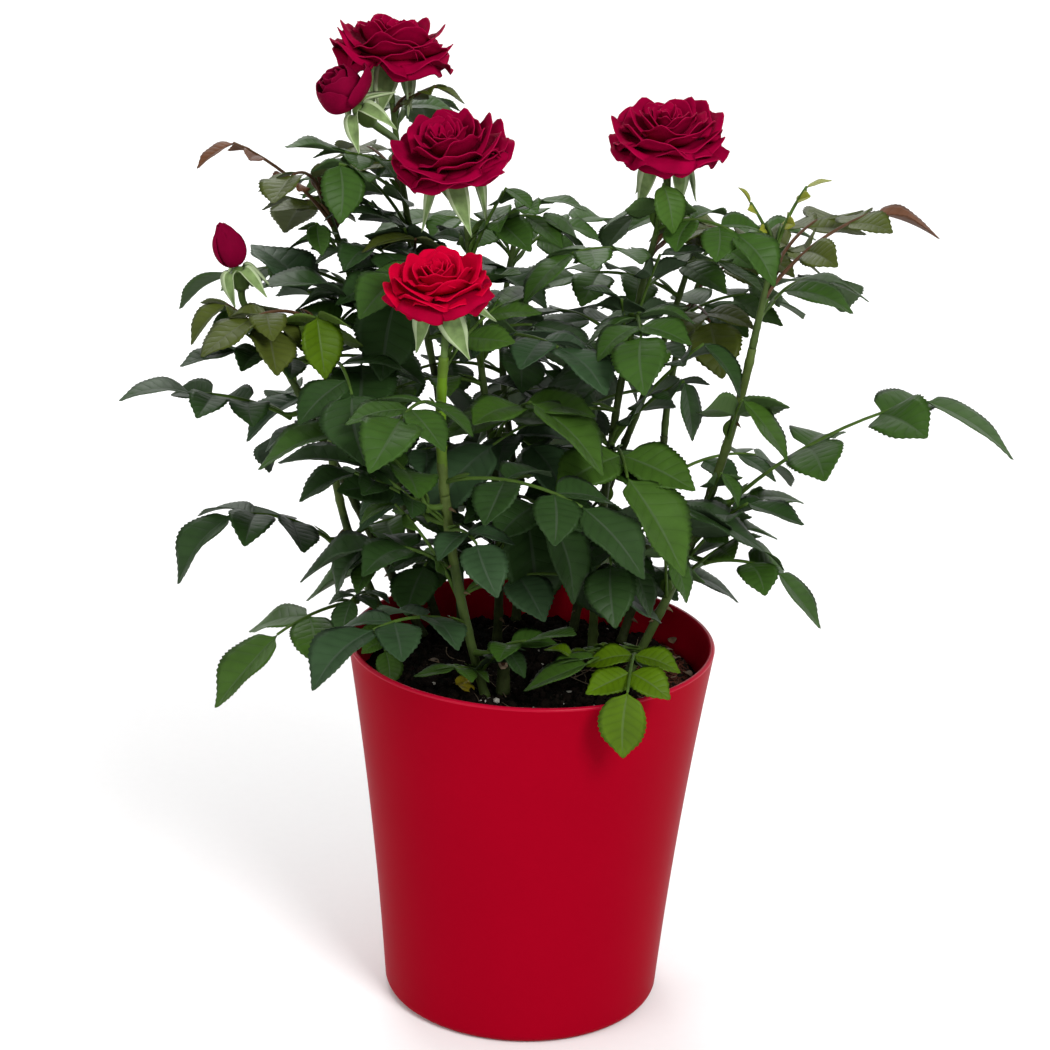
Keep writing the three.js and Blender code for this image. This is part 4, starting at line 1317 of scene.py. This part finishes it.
# Rings of an open bloom from the outside in: petals, reach, rim and foot heights (shares of the
# bloom's radius), half the width of a petal in degrees, and how pointed it is.
BLOOM_RINGS = (
    (4, 0.84, -0.16, -0.02, 50, 0.12),
    (5, 0.98, 0.03, 0.0, 46, 0.2),
    (5, 0.98, 0.21, 0.03, 46, 0.18),
    (5, 0.92, 0.39, 0.07, 47, 0.15),
    (4, 0.81, 0.5, 0.11, 56, 0.13),
    (4, 0.65, 0.55, 0.15, 58, 0.09),
    (3, 0.47, 0.57, 0.2, 74, 0.04),
    (3, 0.34, 0.58, 0.24, 78, 0.02),
    (3, 0.22, 0.58, 0.28, 80, 0),
    (2, 0.12, 0.56, 0.3, 110, 0),
)


def ring_profile(reach, rim, foot):
    """A cupped petal: out from the heart, steeply up, and out again at its rim. One whose rim is
    low arches over and hangs."""
    if rim < foot:
        sides = (0.55 * reach, foot + 0.12), (reach * 1.02, foot + 0.08)
    else:
        sides = (0.62 * reach, foot - 0.1), (0.9 * reach, mix(foot, rim, 0.5) - 0.06)
    return Bezier((0.14 * reach, foot), *sides, (reach, rim))


# How far the petals of a bloom lean, as they face the light more than their hips do, and how far
# they stand above the hip.
FACING = dict(top=(4, 2.1), second=(20, 2.8), right=(13, 3.8), front=(15, 2.4))


def make_bloom(name):
    _, _, hip, bearing, _, radius = BLOOMS[name]
    rng = np.random.default_rng(SEED + 10 + list(BLOOMS).index(name))
    flower = flower_frame(hip, bearing, *FACING[name])
    pile = Pile()
    first = rng.uniform(0, 90)
    for ring, (petals, reach, rim, foot, half, pointed) in enumerate(BLOOM_RINGS):
        first += 38
        # The front bloom takes brighter copies of the petal colour as painted light: lighter on its
        # inner rings, darker on its two outer rings that hang below.
        tone = "petal" if name != "front" else "petal_mid" if ring < 2 else "petal_bright"
        ruffle = 0.05 + 0.03 * reach
        for k in range(petals):
            far = reach * (1 + rng.uniform(-0.14, 0.0))
            profile = ring_profile(far, rim + rng.uniform(-0.06, 0.04), foot)
            turn = first + 360 * k / petals + rng.uniform(-9, 9)
            petal(pile, flower, radius, turn, half, profile, rng, tone, ruffle, pointed)
    pile.piece("petals_" + name, "bloom_" + name, slot="petal")


# Rings of three petals of the half-open bloom from the outside in: reach, rim and foot heights, and
# half the width of a petal in degrees.
HALF_OPEN_RINGS = (
    (1.05, 1.5, -0.05, 66),
    (0.86, 1.62, 0.05, 70),
    (0.62, 1.7, 0.1, 75),
    (0.38, 1.72, 0.2, 80),
)


def make_half_open():
    """Outer petals stand away from a wrapped heart, one of them turned right out."""
    _, _, hip, bearing, lean, radius = HALF_OPEN
    rng = np.random.default_rng(SEED + 20)
    flower = flower_frame(hip, bearing, lean - 6, 2.5)
    pile = Pile()
    first = 0.0
    for reach, rim, foot, half in HALF_OPEN_RINGS:
        first += 47
        for k in range(3):
            opened = 0.45 if reach > 1 and k == 0 else 0
            sides = (1.3 * reach, foot - 0.05), (1.2 * reach + opened, mix(foot, rim, 0.5))
            profile = Bezier((0.12, foot), *sides, ((0.9 + opened) * reach, rim - opened))
            turn = first + 120 * k
            petal(pile, flower, radius * 0.93, turn, half, profile, rng, "petal_bud", 0.03, 0.05)
    pile.piece("petals_half_open", "bud_half_open", slot="petal")


# Rings of the closed bud: petals, reach, the rim's share of its height, half the width of a petal
# and the turn of the first, in degrees.
CLOSED_RINGS = ((3, 1.0, 0.86, 70, 0), (3, 0.86, 0.95, 75, 50), (2, 0.7, 1.0, 110, 20))


def make_closed():
    """A pointed bud of petals wrapped round one another."""
    _, _, hip, bearing, lean, radius = CLOSED
    rng = np.random.default_rng(SEED + 21)
    flower = flower_frame(hip, bearing, lean, 1.5)
    pile = Pile()
    tall = CLOSED_HEIGHT / radius
    for petals, reach, rim, half, first in CLOSED_RINGS:
        sides = (1.2 * reach, 0.15), (1.22 * reach, 0.7 * tall)
        profile = Bezier((0.2, -0.1), *sides, (0.24 * reach, rim * tall))
        for k in range(petals):
            turn = first + 360 * k / petals
            petal(pile, flower, radius, turn, half, profile, rng, "petal_bud", 0.02)
    pile.piece("petals_closed", "bud_closed", slot="petal")


def sepal(pile, flower, turn, opening, length, width, rng):
    """A long thin sepal that hangs back from the flower, with a pale felted edge."""
    at, axis, across, over = flower
    a = math.radians(turn)
    out = across * math.cos(a) + over * math.sin(a)
    sideways = np.cross(axis, out)
    s = np.linspace(0, 1, 19)
    angle = np.radians(mix(min(70, opening), opening, smooth(0, 0.22, s)) + rng.uniform(-6, 14) * s)
    path = np.cumsum(np.stack([np.sin(angle), np.cos(angle)], -1), axis=0) * length / 18
    slim = np.sin(math.pi * (0.12 + 0.88 * s) ** 0.62) ** 0.9 * (1 - 0.5 * smooth(0.5, 1, s))
    half = width / 2 * (slim + 0.04)
    v = np.linspace(-1, 1, 7)
    normal = np.stack([np.cos(angle), -np.sin(angle)], -1)
    cup = (0.45 * half[:, None] * v**2)[..., None]
    sway = rng.uniform(-2.5, 2.5) * s**2
    grid = (
        at
        - axis
        + (path[:, 0] + 1.9)[:, None, None] * out
        + path[:, 1][:, None, None] * axis
        + (half[:, None] * v + sway[:, None])[..., None] * sideways
        - cup * (normal[:, :1, None] * out + normal[:, 1:, None] * axis)
    )
    edge = [(slice(0, 18), slice(0, 1), "sepal_edge"), (slice(0, 18), slice(5, 6), "sepal_edge")]
    sheet(pile, grid, 0.35, "sepal", "sepal", edge)


def stalk_curve(shoot, at, hip, axis):
    """A flower's stalk and its reach, as in the part: on from the shoot's tip, or square from its
    side."""
    start, tangent = SHOOT_CURVES[shoot].at(at), SHOOT_CURVES[shoot].tangent(at)
    leaving = tangent if at == 1 else square_to(hip - start, tangent)
    reach = np.linalg.norm(hip - start)
    bend = start + leaving * PEDICEL * 2 + tangent * reach * 0.2
    return Bezier(start, bend, hip - axis * reach * 0.5, hip), reach


# A stalk's radius at its foot, and how far what the petals stand on rises from the hip.
STALK_FOOT = 1.2
RECEPTACLE = 3.6

# Sepals: how far they open from the flower's axis, their length and their width.
SEPALS = dict(bloom=(163, 24, 9), half_open=(135, 17, 7), closed=(148, 14, 6))


def make_stalks():
    """Stalks that swell into hips, what the petals stand on, and five sepals each."""
    rng = np.random.default_rng(SEED + 30)
    pile = Pile()
    flowers = [(place, SEPALS["bloom"]) for place in BLOOMS.values()]
    flowers += [(HALF_OPEN, SEPALS["half_open"]), (CLOSED, SEPALS["closed"])]
    shares = np.linspace(0, 1, 40)
    for (shoot, at, hip, bearing, lean, radius), (opening, length, width) in flowers:
        flower = flower_frame(hip, bearing, lean)
        curve, reach = stalk_curve(shoot, at, *flower[:2])
        radii = mix(STALK_FOOT, PEDICEL, shares)
        left = (1 - shares) * reach
        urn = np.exp(-(((left - 3.6) / 3.2) ** 4)) * (HIP_RADIUS * 0.95 - radii)
        tube(pile, curve, shares, radii + urn, 16, "hip")
        head = Bezier(flower[0] - flower[1] * 1.2, flower[0] + flower[1] * RECEPTACLE)
        wide = min(0.14 * radius, 3) * np.linspace(0.85, 1.1, 6)
        tube(pile, head, np.linspace(0, 1, 6), wide, 16, "hip")
        for k in range(5):
            turn = FIRST_SEPAL + 72 * k + rng.uniform(-8, 8)
            hang = opening + rng.uniform(-14, 14)
            size = length * rng.uniform(0.8, 1.1), width * rng.uniform(0.8, 1.1)
            sepal(pile, flower, turn, hang, *size, rng)
    pile.piece("hips_and_sepals", slot="leaf")


make_materials()
stage()
make_pot()
make_soil()
make_canes()
make_leaves()
for bloom_name in BLOOMS:
    make_bloom(bloom_name)
make_half_open()
make_closed()
make_stalks()

boxes = {"cad": cad_bounds, "visual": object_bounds()}
{key: [[float(x) for x in corner] for corner in box] for key, box in boxes.items()}
